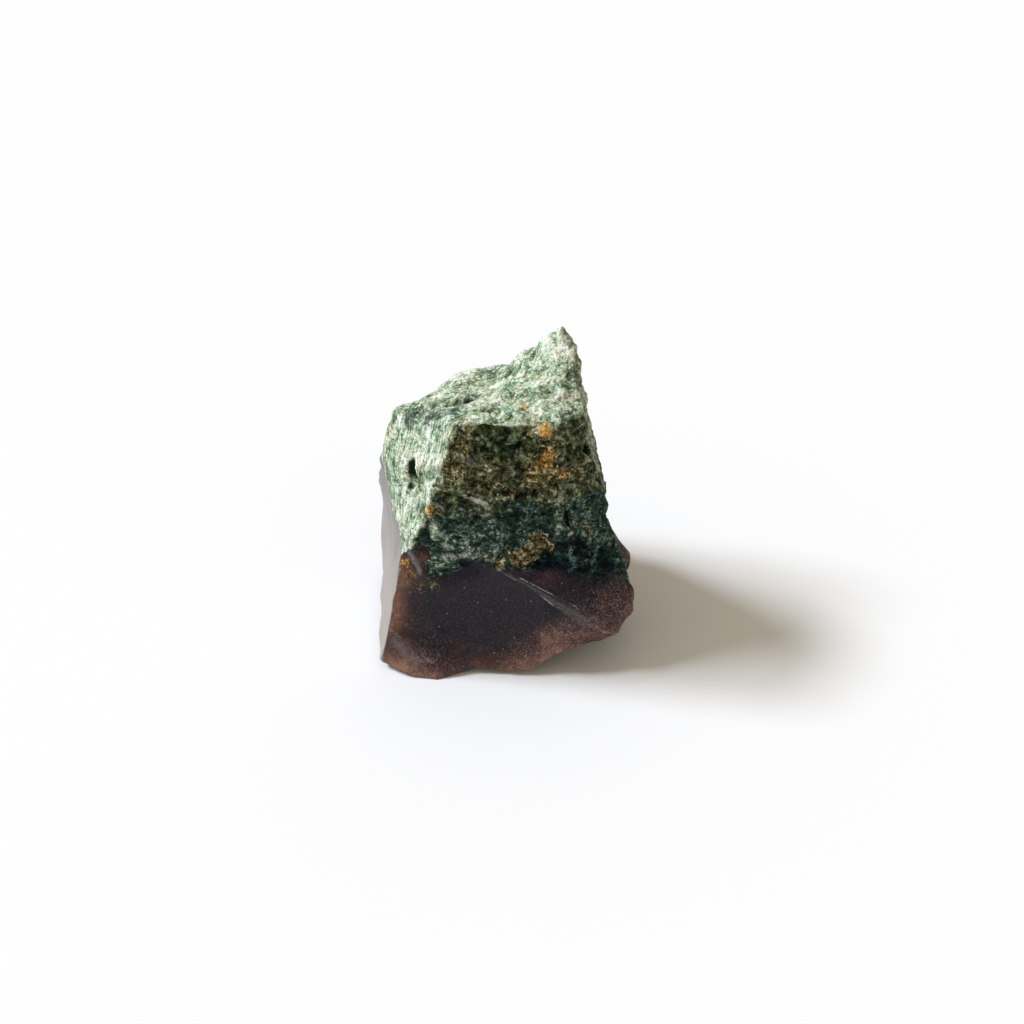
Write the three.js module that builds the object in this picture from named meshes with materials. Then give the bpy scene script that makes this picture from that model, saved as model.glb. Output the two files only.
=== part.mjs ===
// Raw bloodstone: one lump of chalcedony broken on every side, about 27 mm wide,
// 26 mm deep and 35 mm tall. A rough green crust covers the top and the upper front;
// below it the stone is smooth, with shell-shaped hollows and sharp thin edges.
//
// Axes in millimetres: +X right, +Y to the back, +Z up, and the floor is z = 0.
//
// The stone is a set of fractures. Each fracture is a loop of named corners with a
// skin stretched over it: flat, dished where the stone broke in a shell shape, or
// swollen. Neighbouring skins share their rims, so together they close the stone.
import * as THREE from "three";
import { SimplexNoise } from "three/addons/math/SimplexNoise.js";

// ---------------------------------------------------------------- corners (mm)
const CORNERS = {
  // The crown: the peak, and the skyline that falls from it to the left shoulder.
  peakSide: [7.5, 0.2, 31.7],
  peakRight: [6.6, 0.2, 34.0],
  peak: [5.2, 0.5, 35.1],
  crest: [2.2, 2.0, 32.5],
  notch: [0.4, 3.0, 29.2],
  knob: [-0.8, 4.2, 28.7],
  knobLeft: [-2.5, 4.6, 27.8],
  crownBack: [-6.0, 4.0, 27.2],
  crownLeft: [-8.6, 2.2, 25.8],
  shoulder: [-11.7, -0.1, 26.1],
  shoulderFoot: [-11.9, -0.5, 24.2],

  // A low step across the left of the crown: its foot and its top.
  shelfLeft: [-9.2, -3.4, 25.7],
  shelfFront: [-6.8, -5.7, 27.9],
  riserLeft: [-8.2, -1.6, 27.1],
  riserRight: [-4.8, -4.6, 29.2],
  riserEnd: [-3.4, -6.9, 29.2],

  // The brow: the ridge between the top and the front.
  browLeft: [-5.0, -7.6, 29.0],
  browMid: [-1.0, -8.3, 29.1],
  browRight: [3.8, -9.0, 29.6],
  browEnd: [7.4, -6.0, 29.1],

  // The left side and its ridge towards the front.
  cheek: [-8.0, -8.5, 19.1],
  leftEdgeTop: [-12.7, -0.9, 21.9],
  leftEdgeHigh: [-13.6, 2.6, 16.3],
  leftEdgeMid: [-13.8, 8.0, 9.0],
  leftEdgeLow: [-13.9, 5.0, 1.2],
  ridgeHigh: [-11.6, -2.8, 20.2],
  ridgeMid: [-10.9, -5.6, 16.0],
  ridgeLow: [-9.9, -8.7, 15.0],
  ridgeChip: [-10.7, -8.4, 13.8],
  ridgeFoot: [-12.2, -9.8, 5.4],
  heel: [-13.3, -9.8, 0.8],

  // A chip out of the left ridge.
  chipRight: [-7.6, -9.2, 13.2],
  chipLow: [-8.8, -9.4, 11.6],

  // The front: the step under the crust, the bevel and the rim of the hollow.
  step: [5.9, -9.6, 16.2],
  rimStart: [-3.5, -9.5, 13.8],
  rimA: [1.3, -10.2, 11.9],
  rimB: [5.6, -10.8, 9.8],
  rimC: [9.6, -11.0, 6.0],
  bevelA: [1.4, -9.8, 11.0],
  bevelB: [5.0, -10.3, 8.6],
  bevelC: [8.3, -10.7, 5.9],

  // The right side, from the narrow strip beside the peak to the bulge and the toe.
  stripTop: [6.7, -2.5, 31.6],
  sideTop: [7.7, 0.3, 28.4],
  sideMid: [8.7, -1.5, 24.2],
  sideLow: [9.8, -4.0, 18.3],
  sideEdge: [9.2, -6.8, 21.2],
  sideNick: [9.8, -3.2, 15.8],
  sideRib: [11.4, -1.8, 10.5],
  waist: [10.4, -7.4, 15.9],
  hip: [11.0, -7.6, 14.1],
  bulgeTop: [12.1, -7.8, 12.1],
  bulge: [13.1, -8.5, 8.8],
  bulgeLow: [12.8, -9.3, 7.1],
  toe: [11.3, -10.4, 4.8],
  rearSaddle: [9.9, 3.9, 10.3],
  rearKnobTop: [12.3, 3.5, 6.7],
  rearKnob: [13.2, 3.2, 5.2],
  rearKnobLow: [13.0, 3.0, 3.0],

  // The lower edge of the front, and the foot at its left end.
  footTopMid: [-9.5, -10.5, 3.3],
  footTopRight: [-7.8, -11.1, 1.8],
  footLeft: [-10.7, -11.3, 0.5],
  footRight: [-6.2, -11.6, 0.5],
  bellyStart: [-4.4, -10.8, 1.1],
  bellyMid: [-0.3, -11.0, 0.5],
  bellyEnd: [2.6, -11.2, 1.0],
  bellyRise: [5.6, -11.2, 3.0],
  toeNotch: [9.3, -10.6, 4.9],

  // The back.
  backRidge: [5.6, 3.2, 32.0],
  backLeftHigh: [-9.4, 7.2, 20.6],
  backMidHigh: [-2.6, 11.2, 18.4],
  backRightHigh: [6.2, 7.0, 24.6],
  backLeftLow: [-8.6, 12.9, 4.6],
  backMidLow: [2.6, 13.7, 6.8],
  backRightLow: [8.2, 10.6, 11.4],
  sideBack: [10.2, 4.2, 14.6],

  // The lower edge of the back.
  backLeftFoot: [-9.0, 11.5, 1.8],
  backMidFoot: [-1.0, 12.6, 2.2],
  backRightFoot: [7.6, 10.0, 2.5],

  // The flat that the stone rests on.
  restFoot: [-7.3, -11.9, 0.0],
  restHeel: [-11.0, -9.6, 0.0],
  restLeft: [-11.6, 2.0, 0.0],
  restBackLeft: [-8.0, 8.8, 0.0],
  restBack: [-1.0, 10.2, 0.0],
  restBackRight: [6.0, 8.2, 0.0],
  restRight: [9.5, 0.5, 0.0],
  restFrontRight: [5.5, -7.0, 0.0],
  restFrontMid: [-4.0, -8.8, 0.0],
};

// -------------------------------------------------------------- fractures (mm)
// `rim` runs anticlockwise seen from outside. `swell` is the radius of the sphere
// that the skin bends to: positive swells, negative is dished, none is flat.
// `grain` is how far the broken surface wanders from the skin.
const CRUST_GRAIN = 0.45;
const FIBRE_GRAIN = 0.3;
const CHALCEDONY_GRAIN = 0.08;
const BACK_GRAIN = 0.25;
const FRACTURES = [
  // The crown.
  {
    rim: "notch browMid browRight browEnd stripTop peakRight peak crest",
    swell: -60,
    grain: CRUST_GRAIN,
  },
  {
    rim:
      "crownBack crownLeft shoulder riserLeft riserRight riserEnd browLeft browMid " +
      "notch knob knobLeft",
    swell: -60,
    grain: CRUST_GRAIN,
  },
  {
    rim: "shoulder shelfLeft shelfFront browLeft riserEnd riserRight riserLeft",
    grain: FIBRE_GRAIN,
  },

  // The rough upper front and the left cheek.
  {
    rim:
      "shoulder shoulderFoot leftEdgeTop ridgeHigh ridgeMid ridgeLow cheek browLeft shelfFront " +
      "shelfLeft",
    swell: 60,
    grain: FIBRE_GRAIN,
  },
  {
    rim: "browLeft cheek ridgeLow chipRight rimStart rimA step browRight browMid",
    grain: CRUST_GRAIN,
  },
  { rim: "browRight step waist sideEdge browEnd", grain: CRUST_GRAIN },
  { rim: "peakRight stripTop browEnd sideEdge sideLow sideMid sideTop peakSide", grain: FIBRE_GRAIN },

  // The smooth lower front.
  {
    rim: "step rimA rimB rimC toe bulgeLow bulge bulgeTop hip waist",
    swell: 35,
    grain: 0.18,
  },
  {
    rim: "rimStart bevelA bevelB bevelC toeNotch toe rimC rimB rimA",
    grain: CHALCEDONY_GRAIN,
  },
  {
    rim:
      "rimStart chipRight chipLow ridgeChip ridgeFoot footTopMid footTopRight footRight " +
      "bellyStart bellyMid bellyEnd bellyRise toeNotch bevelC bevelB bevelA",
    swell: -28,
    grain: CHALCEDONY_GRAIN,
  },
  { rim: "ridgeLow ridgeChip chipLow", grain: 0 },
  { rim: "ridgeLow chipLow chipRight", swell: -3, grain: CHALCEDONY_GRAIN },
  {
    rim: "ridgeFoot heel footLeft restFoot footRight footTopRight footTopMid",
    swell: -20,
    grain: CHALCEDONY_GRAIN,
  },

  // The sides.
  {
    rim:
      "leftEdgeTop leftEdgeHigh leftEdgeMid leftEdgeLow heel ridgeFoot ridgeChip ridgeLow " +
      "ridgeMid " +
      "ridgeHigh",
    swell: -80,
    grain: CHALCEDONY_GRAIN,
  },
  {
    rim: "sideEdge waist hip bulgeTop bulge bulgeLow sideRib sideNick sideLow",
    swell: -25,
    grain: BACK_GRAIN,
  },
  {
    rim:
      "sideLow sideNick sideRib bulgeLow rearKnobLow rearKnob rearKnobTop rearSaddle " +
      "sideBack",
    swell: -25,
    grain: BACK_GRAIN,
  },

  // The back.
  { rim: "peak peakRight peakSide sideTop backRidge", grain: BACK_GRAIN },
  { rim: "peak backRidge backRightHigh backMidHigh notch crest", grain: BACK_GRAIN },
  { rim: "notch backMidHigh backLeftHigh crownBack knobLeft knob", grain: BACK_GRAIN },
  {
    rim:
      "crownBack backLeftHigh leftEdgeMid leftEdgeHigh leftEdgeTop shoulderFoot shoulder " +
      "crownLeft",
    grain: BACK_GRAIN,
  },
  { rim: "backLeftHigh backLeftLow leftEdgeMid", grain: BACK_GRAIN },
  { rim: "backLeftHigh backMidHigh backMidLow backLeftLow", swell: -35, grain: BACK_GRAIN },
  { rim: "backMidHigh backRightHigh backRightLow backMidLow", swell: -35, grain: BACK_GRAIN },
  { rim: "backRidge sideTop sideMid sideLow sideBack backRightHigh", grain: BACK_GRAIN },
  {
    rim:
      "backRightHigh sideBack rearSaddle rearKnobTop rearKnob rearKnobLow backRightFoot " +
      "backRightLow",
    grain: BACK_GRAIN,
  },
  { rim: "backMidLow backRightLow backRightFoot backMidFoot", grain: BACK_GRAIN },
  { rim: "backLeftLow backMidLow backMidFoot backLeftFoot", grain: BACK_GRAIN },
  { rim: "leftEdgeMid backLeftLow backLeftFoot leftEdgeLow", grain: BACK_GRAIN },

  // The underside, round the flat.
  { rim: "heel restHeel restFoot footLeft", grain: CHALCEDONY_GRAIN },
  {
    rim:
      "restFoot restFrontMid restFrontRight toe toeNotch bellyRise bellyEnd bellyMid " +
      "bellyStart footRight",
    grain: CHALCEDONY_GRAIN,
  },
  { rim: "toe restFrontRight restRight rearKnobLow bulgeLow", grain: BACK_GRAIN },
  { rim: "rearKnobLow restRight restBackRight backRightFoot", grain: BACK_GRAIN },
  {
    rim: "backRightFoot restBackRight restBack restBackLeft backLeftFoot backMidFoot",
    grain: BACK_GRAIN,
  },
  { rim: "backLeftFoot restBackLeft restLeft leftEdgeLow", grain: BACK_GRAIN },
  { rim: "leftEdgeLow restLeft restHeel heel", grain: BACK_GRAIN },
  {
    rim:
      "restFoot restHeel restLeft restBackLeft restBack restBackRight restRight " +
      "restFrontRight restFrontMid",
    grain: 0,
    flat: true,
  },
];

// -------------------------------------------------------- dents and bumps (mm)
// `at` is the middle, `half` the half size along each axis, and `depth` how far the
// middle sinks; a bump's depth is below zero. The `fine` ones get a finer mesh.
const DENTS = [
  { at: [-9.7, -5.4, 20.9], half: [1.5, 1.5, 1.6], depth: 1.7, fine: true }, // the left pit
  { at: [-9.8, -4.9, 22.4], half: [1.1, 1.1, 1.2], depth: 1.1, fine: true }, // and its upper end
  { at: [-4.4, -2.5, 28.1], half: [1.4, 1.2, 1.2], depth: 1.3, fine: true }, // the crown pit
  { at: [4.0, -4.6, 30.6], half: [1.3, 1.2, 1.2], depth: 0.9, fine: true }, // below the peak
  { at: [-0.2, -8.9, 21.5], half: [0.9, 0.8, 0.8], depth: 0.6, fine: true }, // mid front
  { at: [5.9, -9.3, 19.2], half: [0.9, 1.1, 1.7], depth: 0.9, fine: true }, // an upright crack
  { at: [8.0, -6.6, 25.0], half: [1.0, 1.0, 1.0], depth: 0.75, fine: true }, // right edge, high
  { at: [9.0, -7.0, 21.7], half: [1.0, 1.0, 1.0], depth: 0.75, fine: true }, // right edge, low
  { at: [-0.6, -8.9, 27.2], half: [4.6, 1.5, 1.5], depth: 0.6 }, // the hollow under the brow
  { at: [6.6, -8.6, 21.8], half: [2.6, 1.2, 1.2], depth: 0.6 }, // under a ledge
  { at: [1.5, 2.3, 30.3], half: [2.6, 2.6, 2.4], depth: -0.9 }, // a swelling of the skyline
  { at: [3.9, -9.0, 28.8], half: [1.5, 1.5, 1.2], depth: -0.6 }, // a bump on the brow
  { at: [-7.6, -8.7, 19.2], half: [1.5, 1.5, 1.5], depth: -0.5 }, // a bump beside the cheek
];

// How deep into a dent a point is: 1 in the middle, 0 at its lip and beyond.
function dentShare(point, { at, half }) {
  const [x, y, z] = point.toArray().map((value, axis) => (value - at[axis]) / half[axis]);
  const fromMiddle = x * x + y * y + z * z;
  return fromMiddle < 1 ? (1 - fromMiddle) ** 2 : 0;
}

// ------------------------------------------------------------------- the cage
// The loops cut into triangles: corners as points, and triangles that know their
// fracture.
function makeCage() {
  const names = Object.keys(CORNERS);
  const points = names.map((name) => new THREE.Vector3(...CORNERS[name]));
  const triangles = [];
  FRACTURES.forEach((fracture, index) => {
    const loop = fracture.rim.split(" ").map((name) => names.indexOf(name));
    fracture.normal = loopNormal(loop.map((corner) => points[corner]));
    for (const triangle of cutLoop(loop, points, fracture.normal)) {
      triangles.push({ corners: triangle, fracture: index });
    }
  });
  return { points, triangles };
}

// The mean direction a loop faces.
function loopNormal(loop) {
  const normal = new THREE.Vector3();
  loop.forEach((point, i) => {
    normal.add(new THREE.Vector3().crossVectors(point, loop[(i + 1) % loop.length]));
  });
  return normal.normalize();
}

// A loop cut into triangles as it's seen from straight in front.
function cutLoop(loop, points, normal) {
  const facesSide = Math.abs(normal.x) > Math.abs(normal.y);
  const across = new THREE.Vector3(facesSide ? 0 : 1, facesSide ? 1 : 0, 0);
  across.projectOnPlane(normal).normalize();
  const up = new THREE.Vector3().crossVectors(normal, across);
  const outline = loop.map((i) => new THREE.Vector2(points[i].dot(across), points[i].dot(up)));
  return THREE.ShapeUtils.triangulateShape(outline, []).map((triangle) =>
    triangle.map((i) => loop[i]),
  );
}

// ------------------------------------------------------------------ fine mesh
// The longest edges allowed, in mm.
const FRONT_SPACING = 1.25;
const BACK_SPACING = 2.5;
const FLAT_SPACING = 4.0;
const FINE_SPACING = 0.5;
const FLOOR_HAIR = 0.01; // lower than this is the flat
const FRONT_ENDS = -2; // y where the spacing starts to widen
const BACK_STARTS = 6; // y where it has widened

// The longest edge allowed near a point.
function spacingAt(point) {
  if (DENTS.some((dent) => dent.fine && dentShare(point, dent) > 0)) return FINE_SPACING;
  if (point.z < FLOOR_HAIR) return FLAT_SPACING;
  const back = THREE.MathUtils.smoothstep(point.y, FRONT_ENDS, BACK_STARTS);
  return THREE.MathUtils.lerp(FRONT_SPACING, BACK_SPACING, back);
}

const edgeKey = (a, b) => (a < b ? a + "," + b : b + "," + a);

// Every edge with the triangles beside it.
function edgesOf(triangles) {
  const edges = new Map();
  triangles.forEach(({ corners }, index) => {
    corners.forEach((a, i) => {
      const b = corners[(i + 1) % 3];
      const key = edgeKey(a, b);
      if (!edges.has(key)) edges.set(key, { a, b, beside: [] });
      edges.get(key).beside.push(index);
    });
  });
  return [...edges.values()];
}

// Edges are halved, the longest for its place first, until none is too long.
function refine({ points, triangles }) {
  for (;;) {
    const long = edgesOf(triangles)
      .map((edge) => {
        const middle = points[edge.a].clone().lerp(points[edge.b], 0.5);
        const length = points[edge.a].distanceTo(points[edge.b]);
        return { ...edge, middle, excess: length / spacingAt(middle) };
      })
      .filter((edge) => edge.excess > 1)
      .sort((p, q) => q.excess - p.excess);
    if (!long.length) return;
    const changed = new Set();
    for (const edge of long) {
      if (edge.excess < long[0].excess / Math.SQRT2) break;
      if (edge.beside.some((index) => changed.has(index))) continue;
      points.push(edge.middle);
      for (const index of edge.beside) {
        changed.add(index);
        halve(triangles, index, edge, points.length - 1);
      }
    }
  }
}

// One triangle becomes two, parted at the middle of one of its edges.
function halve(triangles, index, { a, b }, middle) {
  const { corners, fracture } = triangles[index];
  const withA = corners.map((corner) => (corner === b ? middle : corner));
  const withB = corners.map((corner) => (corner === a ? middle : corner));
  triangles[index] = { corners: withA, fracture };
  triangles.push({ corners: withB, fracture });
}

// ---------------------------------------------------------------------- skins
const SPACING_PASSES = 12;
const BENDING_PASSES = 500;
const LEAST_WANDER = 0.06; // mm, how far a clean edge strays from straight
const WANDER_PER_GRAIN = 0.6; // and how much further for each mm of grain
const WANDER_WAVE = 3.2; // mm, the length of the wobbles

// A repeatable source of random numbers from 0 to 1.
function seededRandom(seed) {
  let state = seed;
  return () => {
    state = (Math.imul(state, 1664525) + 1013904223) >>> 0;
    return state / 2 ** 32;
  };
}

const noise = new SimplexNoise({ random: seededRandom(11) });
const LAYER_SHIFT = 37.7; // far enough apart for two layers of noise to be unlike

// Noise from -1 to 1 that varies over `wave` millimetres; `layer` picks a fresh field.
function noiseAt(point, wave, layer) {
  const shift = layer * LAYER_SHIFT;
  return noise.noise3d(point.x / wave + shift, point.y / wave, point.z / wave - shift);
}

// For each point: its neighbours and the fractures that meet there.
function surroundings({ points, triangles }) {
  const around = points.map(() => ({ near: new Set(), fractures: new Set() }));
  for (const { corners, fracture } of triangles) {
    for (const corner of corners) {
      around[corner].fractures.add(fracture);
      corners.filter((other) => other !== corner).forEach((o) => around[corner].near.add(o));
    }
  }
  return around.map(({ near, fractures }) => ({ near: [...near], fractures: [...fractures] }));
}

// The grain where fractures meet: the mean of theirs.
function grainAt(meeting) {
  return meeting.reduce((sum, { grain }) => sum + grain, 0) / meeting.length;
}

// The rims stray a little from straight, as a broken edge does.
function roughenRims(points, around) {
  points.forEach((point, i) => {
    const meeting = around[i].fractures.map((index) => FRACTURES[index]);
    if (meeting.length < 2) return;
    const wander = LEAST_WANDER + WANDER_PER_GRAIN * grainAt(meeting);
    const [x, y, z] = [1, 2, 3].map((layer) => wander * noiseAt(point, WANDER_WAVE, layer));
    const onFlat = meeting.some((fracture) => fracture.flat);
    point.add(new THREE.Vector3(x, y, onFlat ? 0 : z));
  });
}

// Points inside a fracture even out, then settle into a film that bends to its sphere.
function stretchSkins(points, around) {
  const inside = points.map((_, i) => i).filter((i) => around[i].fractures.length === 1);
  for (let pass = 0; pass < SPACING_PASSES + BENDING_PASSES; pass++) {
    const spreading = pass < SPACING_PASSES;
    for (const i of inside) {
      const { normal, swell } = FRACTURES[around[i].fractures[0]];
      const near = around[i].near;
      const pull = new THREE.Vector3();
      let reach = 0;
      for (const j of near) {
        const step = points[j].clone().sub(points[i]);
        pull.addScaledVector(step, 1 / near.length);
        reach += step.projectOnPlane(normal).lengthSq() / near.length;
      }
      if (!spreading) pull.projectOnVector(normal);
      if (swell) pull.addScaledVector(normal, reach / (2 * swell));
      points[i].add(pull);
    }
  }
}

// ------------------------------------------------------------ broken surface
// Broad lumps, a patchwork of flat breaks and small chips: each has its size in mm
// and its share of the grain.
const LUMPS = { size: 6.5, share: 0.6 };
const PATCHES = { size: 3.0, share: 1.2, tilt: 1.1 };
const CHIPS = { size: 1.7, share: 0.3 };
const CELLS_AROUND = 27; // a grid cell and its neighbours, three each way

// A repeatable number from 0 to 1 for a place in a grid: the usual sine hash.
function gridRandom(x, y, z, layer) {
  const mixed = Math.sin(x * 127.1 + y * 311.7 + z * 74.7 + layer * 53.3) * 43758.5453;
  return mixed - Math.floor(mixed);
}

// A patchwork of small flat breaks, each set back and tilted its own way.
function patchwork(point) {
  const spot = point.clone().divideScalar(PATCHES.size);
  const cell = spot.clone().floor();
  let nearest = Infinity;
  let height = 0;
  for (let step = 0; step < CELLS_AROUND; step++) {
    const x = cell.x + (step % 3) - 1;
    const y = cell.y + (Math.floor(step / 3) % 3) - 1;
    const z = cell.z + Math.floor(step / 9) - 1;
    const random = (layer) => gridRandom(x, y, z, layer);
    const away = new THREE.Vector3(x + random(1), y + random(2), z + random(3)).sub(spot);
    if (away.lengthSq() > nearest) continue;
    nearest = away.lengthSq();
    const tilt = new THREE.Vector3(random(4), random(5), random(6)).subScalar(0.5);
    height = random(7) - 0.5 + PATCHES.tilt * tilt.dot(away);
  }
  return height;
}

// How far the broken surface stands off its skin, in shares of the grain.
function brokenness(point) {
  const lumps = LUMPS.share * noiseAt(point, LUMPS.size, 4);
  const chips = CHIPS.share * noiseAt(point, CHIPS.size, 6);
  return lumps + PATCHES.share * patchwork(point) + chips;
}

// The direction the surface faces at each point.
function pointNormals({ points, triangles }) {
  const normals = points.map(() => new THREE.Vector3());
  for (const { corners } of triangles) {
    const [a, b, c] = corners.map((corner) => points[corner]);
    const facing = new THREE.Vector3().crossVectors(b.clone().sub(a), c.clone().sub(a));
    corners.forEach((corner) => normals[corner].add(facing));
  }
  return normals.map((normal) => normal.normalize());
}

// The skins take on the grain of a real break, and the dents sink in.
function breakSurface(mesh, around) {
  const normals = pointNormals(mesh);
  mesh.points.forEach((point, i) => {
    const meeting = around[i].fractures.map((index) => FRACTURES[index]);
    if (meeting.some((fracture) => fracture.flat)) return;
    const sunk = DENTS.reduce((sum, dent) => sum + dent.depth * dentShare(point, dent), 0);
    point.addScaledVector(normals[i], grainAt(meeting) * brokenness(point) - sunk);
    point.z = Math.max(point.z, 0);
  });
}

// ------------------------------------------------------------------ the stone
// The origin goes under the middle of the stone, on the floor.
function centreOverOrigin(geometry) {
  geometry.computeBoundingBox();
  const middle = geometry.boundingBox.getCenter(new THREE.Vector3());
  geometry.translate(-middle.x, -middle.y, 0);
}

function stoneGeometry() {
  const mesh = makeCage();
  refine(mesh);
  const around = surroundings(mesh);
  roughenRims(mesh.points, around);
  stretchSkins(mesh.points, around);
  breakSurface(mesh, around);
  const geometry = new THREE.BufferGeometry();
  geometry.setFromPoints(mesh.points);
  geometry.setIndex(mesh.triangles.flatMap(({ corners }) => corners));
  centreOverOrigin(geometry);
  geometry.computeVertexNormals();
  return geometry;
}

const bloodstone = new THREE.MeshStandardMaterial({
  color: 0x4f6152,
  roughness: 0.6,
  metalness: 0,
});
const stone = new THREE.Mesh(stoneGeometry(), bloodstone);
stone.name = "stone";

const group = new THREE.Group();
group.name = "raw_bloodstone";
group.add(stone);

export default group;
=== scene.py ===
# %% [markdown]
# # Raw bloodstone: the frame to work in
# A raw bloodstone is one broken lump: a rough green crust grown over smooth, waxy,
# purple-brown chalcedony. The measured solid is already in the frame, so this lesson
# dresses it: it copies the solid, gives the copy finer grain, works out where each kind of
# surface lies, and builds one material that knows all of them.
# Lengths are thought of in millimetres and turned into metres by `MM`.

# %% Frame
import math

import bmesh
import bpy
import numpy as np
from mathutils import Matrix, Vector, noise
from mathutils.bvhtree import BVHTree


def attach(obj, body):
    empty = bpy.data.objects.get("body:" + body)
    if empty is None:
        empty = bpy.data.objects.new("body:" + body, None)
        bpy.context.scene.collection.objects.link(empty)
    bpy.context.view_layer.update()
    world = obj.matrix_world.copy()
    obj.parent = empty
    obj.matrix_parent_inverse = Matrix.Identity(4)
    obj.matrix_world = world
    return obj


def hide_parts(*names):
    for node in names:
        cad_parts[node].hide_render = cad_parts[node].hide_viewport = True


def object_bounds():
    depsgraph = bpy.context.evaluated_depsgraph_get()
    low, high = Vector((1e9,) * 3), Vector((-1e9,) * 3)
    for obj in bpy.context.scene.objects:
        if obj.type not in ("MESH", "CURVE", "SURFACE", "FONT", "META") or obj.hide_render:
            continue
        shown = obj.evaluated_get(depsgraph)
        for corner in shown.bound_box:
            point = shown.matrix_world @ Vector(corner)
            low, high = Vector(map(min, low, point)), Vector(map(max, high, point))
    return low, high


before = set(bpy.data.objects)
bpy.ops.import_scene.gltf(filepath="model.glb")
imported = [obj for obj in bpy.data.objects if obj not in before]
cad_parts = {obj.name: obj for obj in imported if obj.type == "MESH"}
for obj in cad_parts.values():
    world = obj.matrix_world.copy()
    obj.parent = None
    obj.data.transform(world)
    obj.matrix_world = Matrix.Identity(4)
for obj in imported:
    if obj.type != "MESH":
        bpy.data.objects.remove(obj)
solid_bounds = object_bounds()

MM = 0.001

print("solid, in mm:", [[round(c / MM, 2) for c in corner] for corner in solid_bounds])

# %% [markdown]
# ## Camera
# A small stone is shown best by a long lens from a fair way off, because a short lens
# would swell its near edge. The camera looks down on it by a little less than half a right
# angle, so that the crown, the left cheek and the front are all seen at once.

# %% Camera
CAMERA_AIM = Vector((0.776, -0.860, 13.0)) * MM
CAMERA_DISTANCE = 200 * MM
CAMERA_ELEVATION = math.radians(35)
SENSOR_WIDTH = 36.0
LENS = 66.8
NEAREST_SEEN = 1 * MM
FURTHEST_SEEN = 10.0


def add_camera():
    """The scene's camera, square on to the front of the stone and above it."""
    back = Vector((0, -math.cos(CAMERA_ELEVATION), math.sin(CAMERA_ELEVATION)))
    lens = bpy.data.cameras.new("camera")
    lens.sensor_width = SENSOR_WIDTH
    lens.lens = LENS
    lens.clip_start = NEAREST_SEEN
    lens.clip_end = FURTHEST_SEEN
    camera = bpy.data.objects.new("camera", lens)
    camera.location = CAMERA_AIM + back * CAMERA_DISTANCE
    camera.rotation_euler = back.to_track_quat("Z", "Y").to_euler()
    bpy.context.scene.collection.objects.link(camera)
    bpy.context.scene.camera = camera
    return camera


camera = add_camera()
print("camera at, in mm:", [round(c / MM, 1) for c in camera.location])

# %% [markdown]
# ## Floor
# The stone stands on a plain pale sheet, so wide that the camera sees none of its edges.
# It is there to catch the shadow and isn't part of the stone.

# %% Floor
FLOOR_SIZE = 4.0
FLOOR_COLOUR = (0.90, 0.90, 0.90, 1)
FLOOR_ROUGHNESS = 0.9
FLOOR_SHINE = 0.1


def add_floor():
    """A plain pale floor under the stone, which isn't part of it."""
    bpy.ops.mesh.primitive_plane_add(size=FLOOR_SIZE)
    floor = bpy.context.object
    floor.name = "floor"
    paint = bpy.data.materials.new("floor")
    paint.use_nodes = True
    shader = paint.node_tree.nodes["Principled BSDF"]
    shader.inputs["Base Color"].default_value = FLOOR_COLOUR
    shader.inputs["Roughness"].default_value = FLOOR_ROUGHNESS
    shader.inputs["Specular IOR Level"].default_value = FLOOR_SHINE
    floor.data.materials.append(paint)


add_floor()
print("floor:", FLOOR_SIZE, "m wide")

# %% [markdown]
# ## Light
# The main light is a cool window light from the upper left, which gives the long soft
# shadow to the right. The window is wider than it is tall, so it is made of two sun lamps
# side by side, each wide enough to soften its shadow's edge. A weak warm light from all
# round fills the rest, so the shadow is the warmer part.

# %% Light
LAMP_COLOUR = (0.93, 1.00, 1.115)
LAMPS = [
    # name, direction towards it, width, strength
    ("back half of the window", Vector((-0.90, 0.23, 1.0)), math.radians(12), 1.75),
    ("front half of the window", Vector((-0.98, -0.05, 1.0)), math.radians(13), 1.30),
]
ROOM_COLOUR = (1.12, 1.00, 0.80, 1)
ROOM_STRENGTH = 0.40


def add_lamp(name, towards, width, strength):
    """A sun lamp in that direction, as wide as it looks from the stone."""
    light = bpy.data.lights.new(name, "SUN")
    light.energy = strength
    light.color = LAMP_COLOUR
    light.angle = width
    lamp = bpy.data.objects.new(name, light)
    lamp.rotation_euler = towards.to_track_quat("Z", "Y").to_euler()
    bpy.context.scene.collection.objects.link(lamp)


def light_room():
    """An even, slightly warm light from all round."""
    world = bpy.data.worlds.new("room")
    world.use_nodes = True
    background = world.node_tree.nodes["Background"]
    background.inputs["Color"].default_value = ROOM_COLOUR
    background.inputs["Strength"].default_value = ROOM_STRENGTH
    bpy.context.scene.world = world


for lamp in LAMPS:
    add_lamp(*lamp)
light_room()
bpy.context.scene.view_settings.view_transform = "Standard"
print("lamps:", len(LAMPS))

# %% [markdown]
# ## A finer copy of the solid
# The solid's faces are about a millimetre long, which is right for its flats, ridges and
# pits but too coarse for grain. Each triangle of a copy is cut into sixteen. The copy's
# corners are joined first, because a solid that comes in as a file has them doubled.

# %% Fine copy
CUTS = 3
SAME_POINT = 1e-7


def fine_copy(node):
    """A new object with the node's shape, its triangles each cut into smaller ones."""
    shape = bmesh.new()
    shape.from_mesh(node.data)
    bmesh.ops.transform(shape, matrix=node.matrix_world, verts=shape.verts)
    bmesh.ops.remove_doubles(shape, verts=shape.verts, dist=SAME_POINT)
    bmesh.ops.subdivide_edges(shape, edges=shape.edges, cuts=CUTS, use_grid_fill=True)
    bmesh.ops.triangulate(shape, faces=shape.faces)
    mesh = bpy.data.meshes.new("bloodstone_lump")
    shape.to_mesh(mesh)
    shape.free()
    lump = bpy.data.objects.new("bloodstone_lump", mesh)
    bpy.context.scene.collection.objects.link(lump)
    return lump


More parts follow.
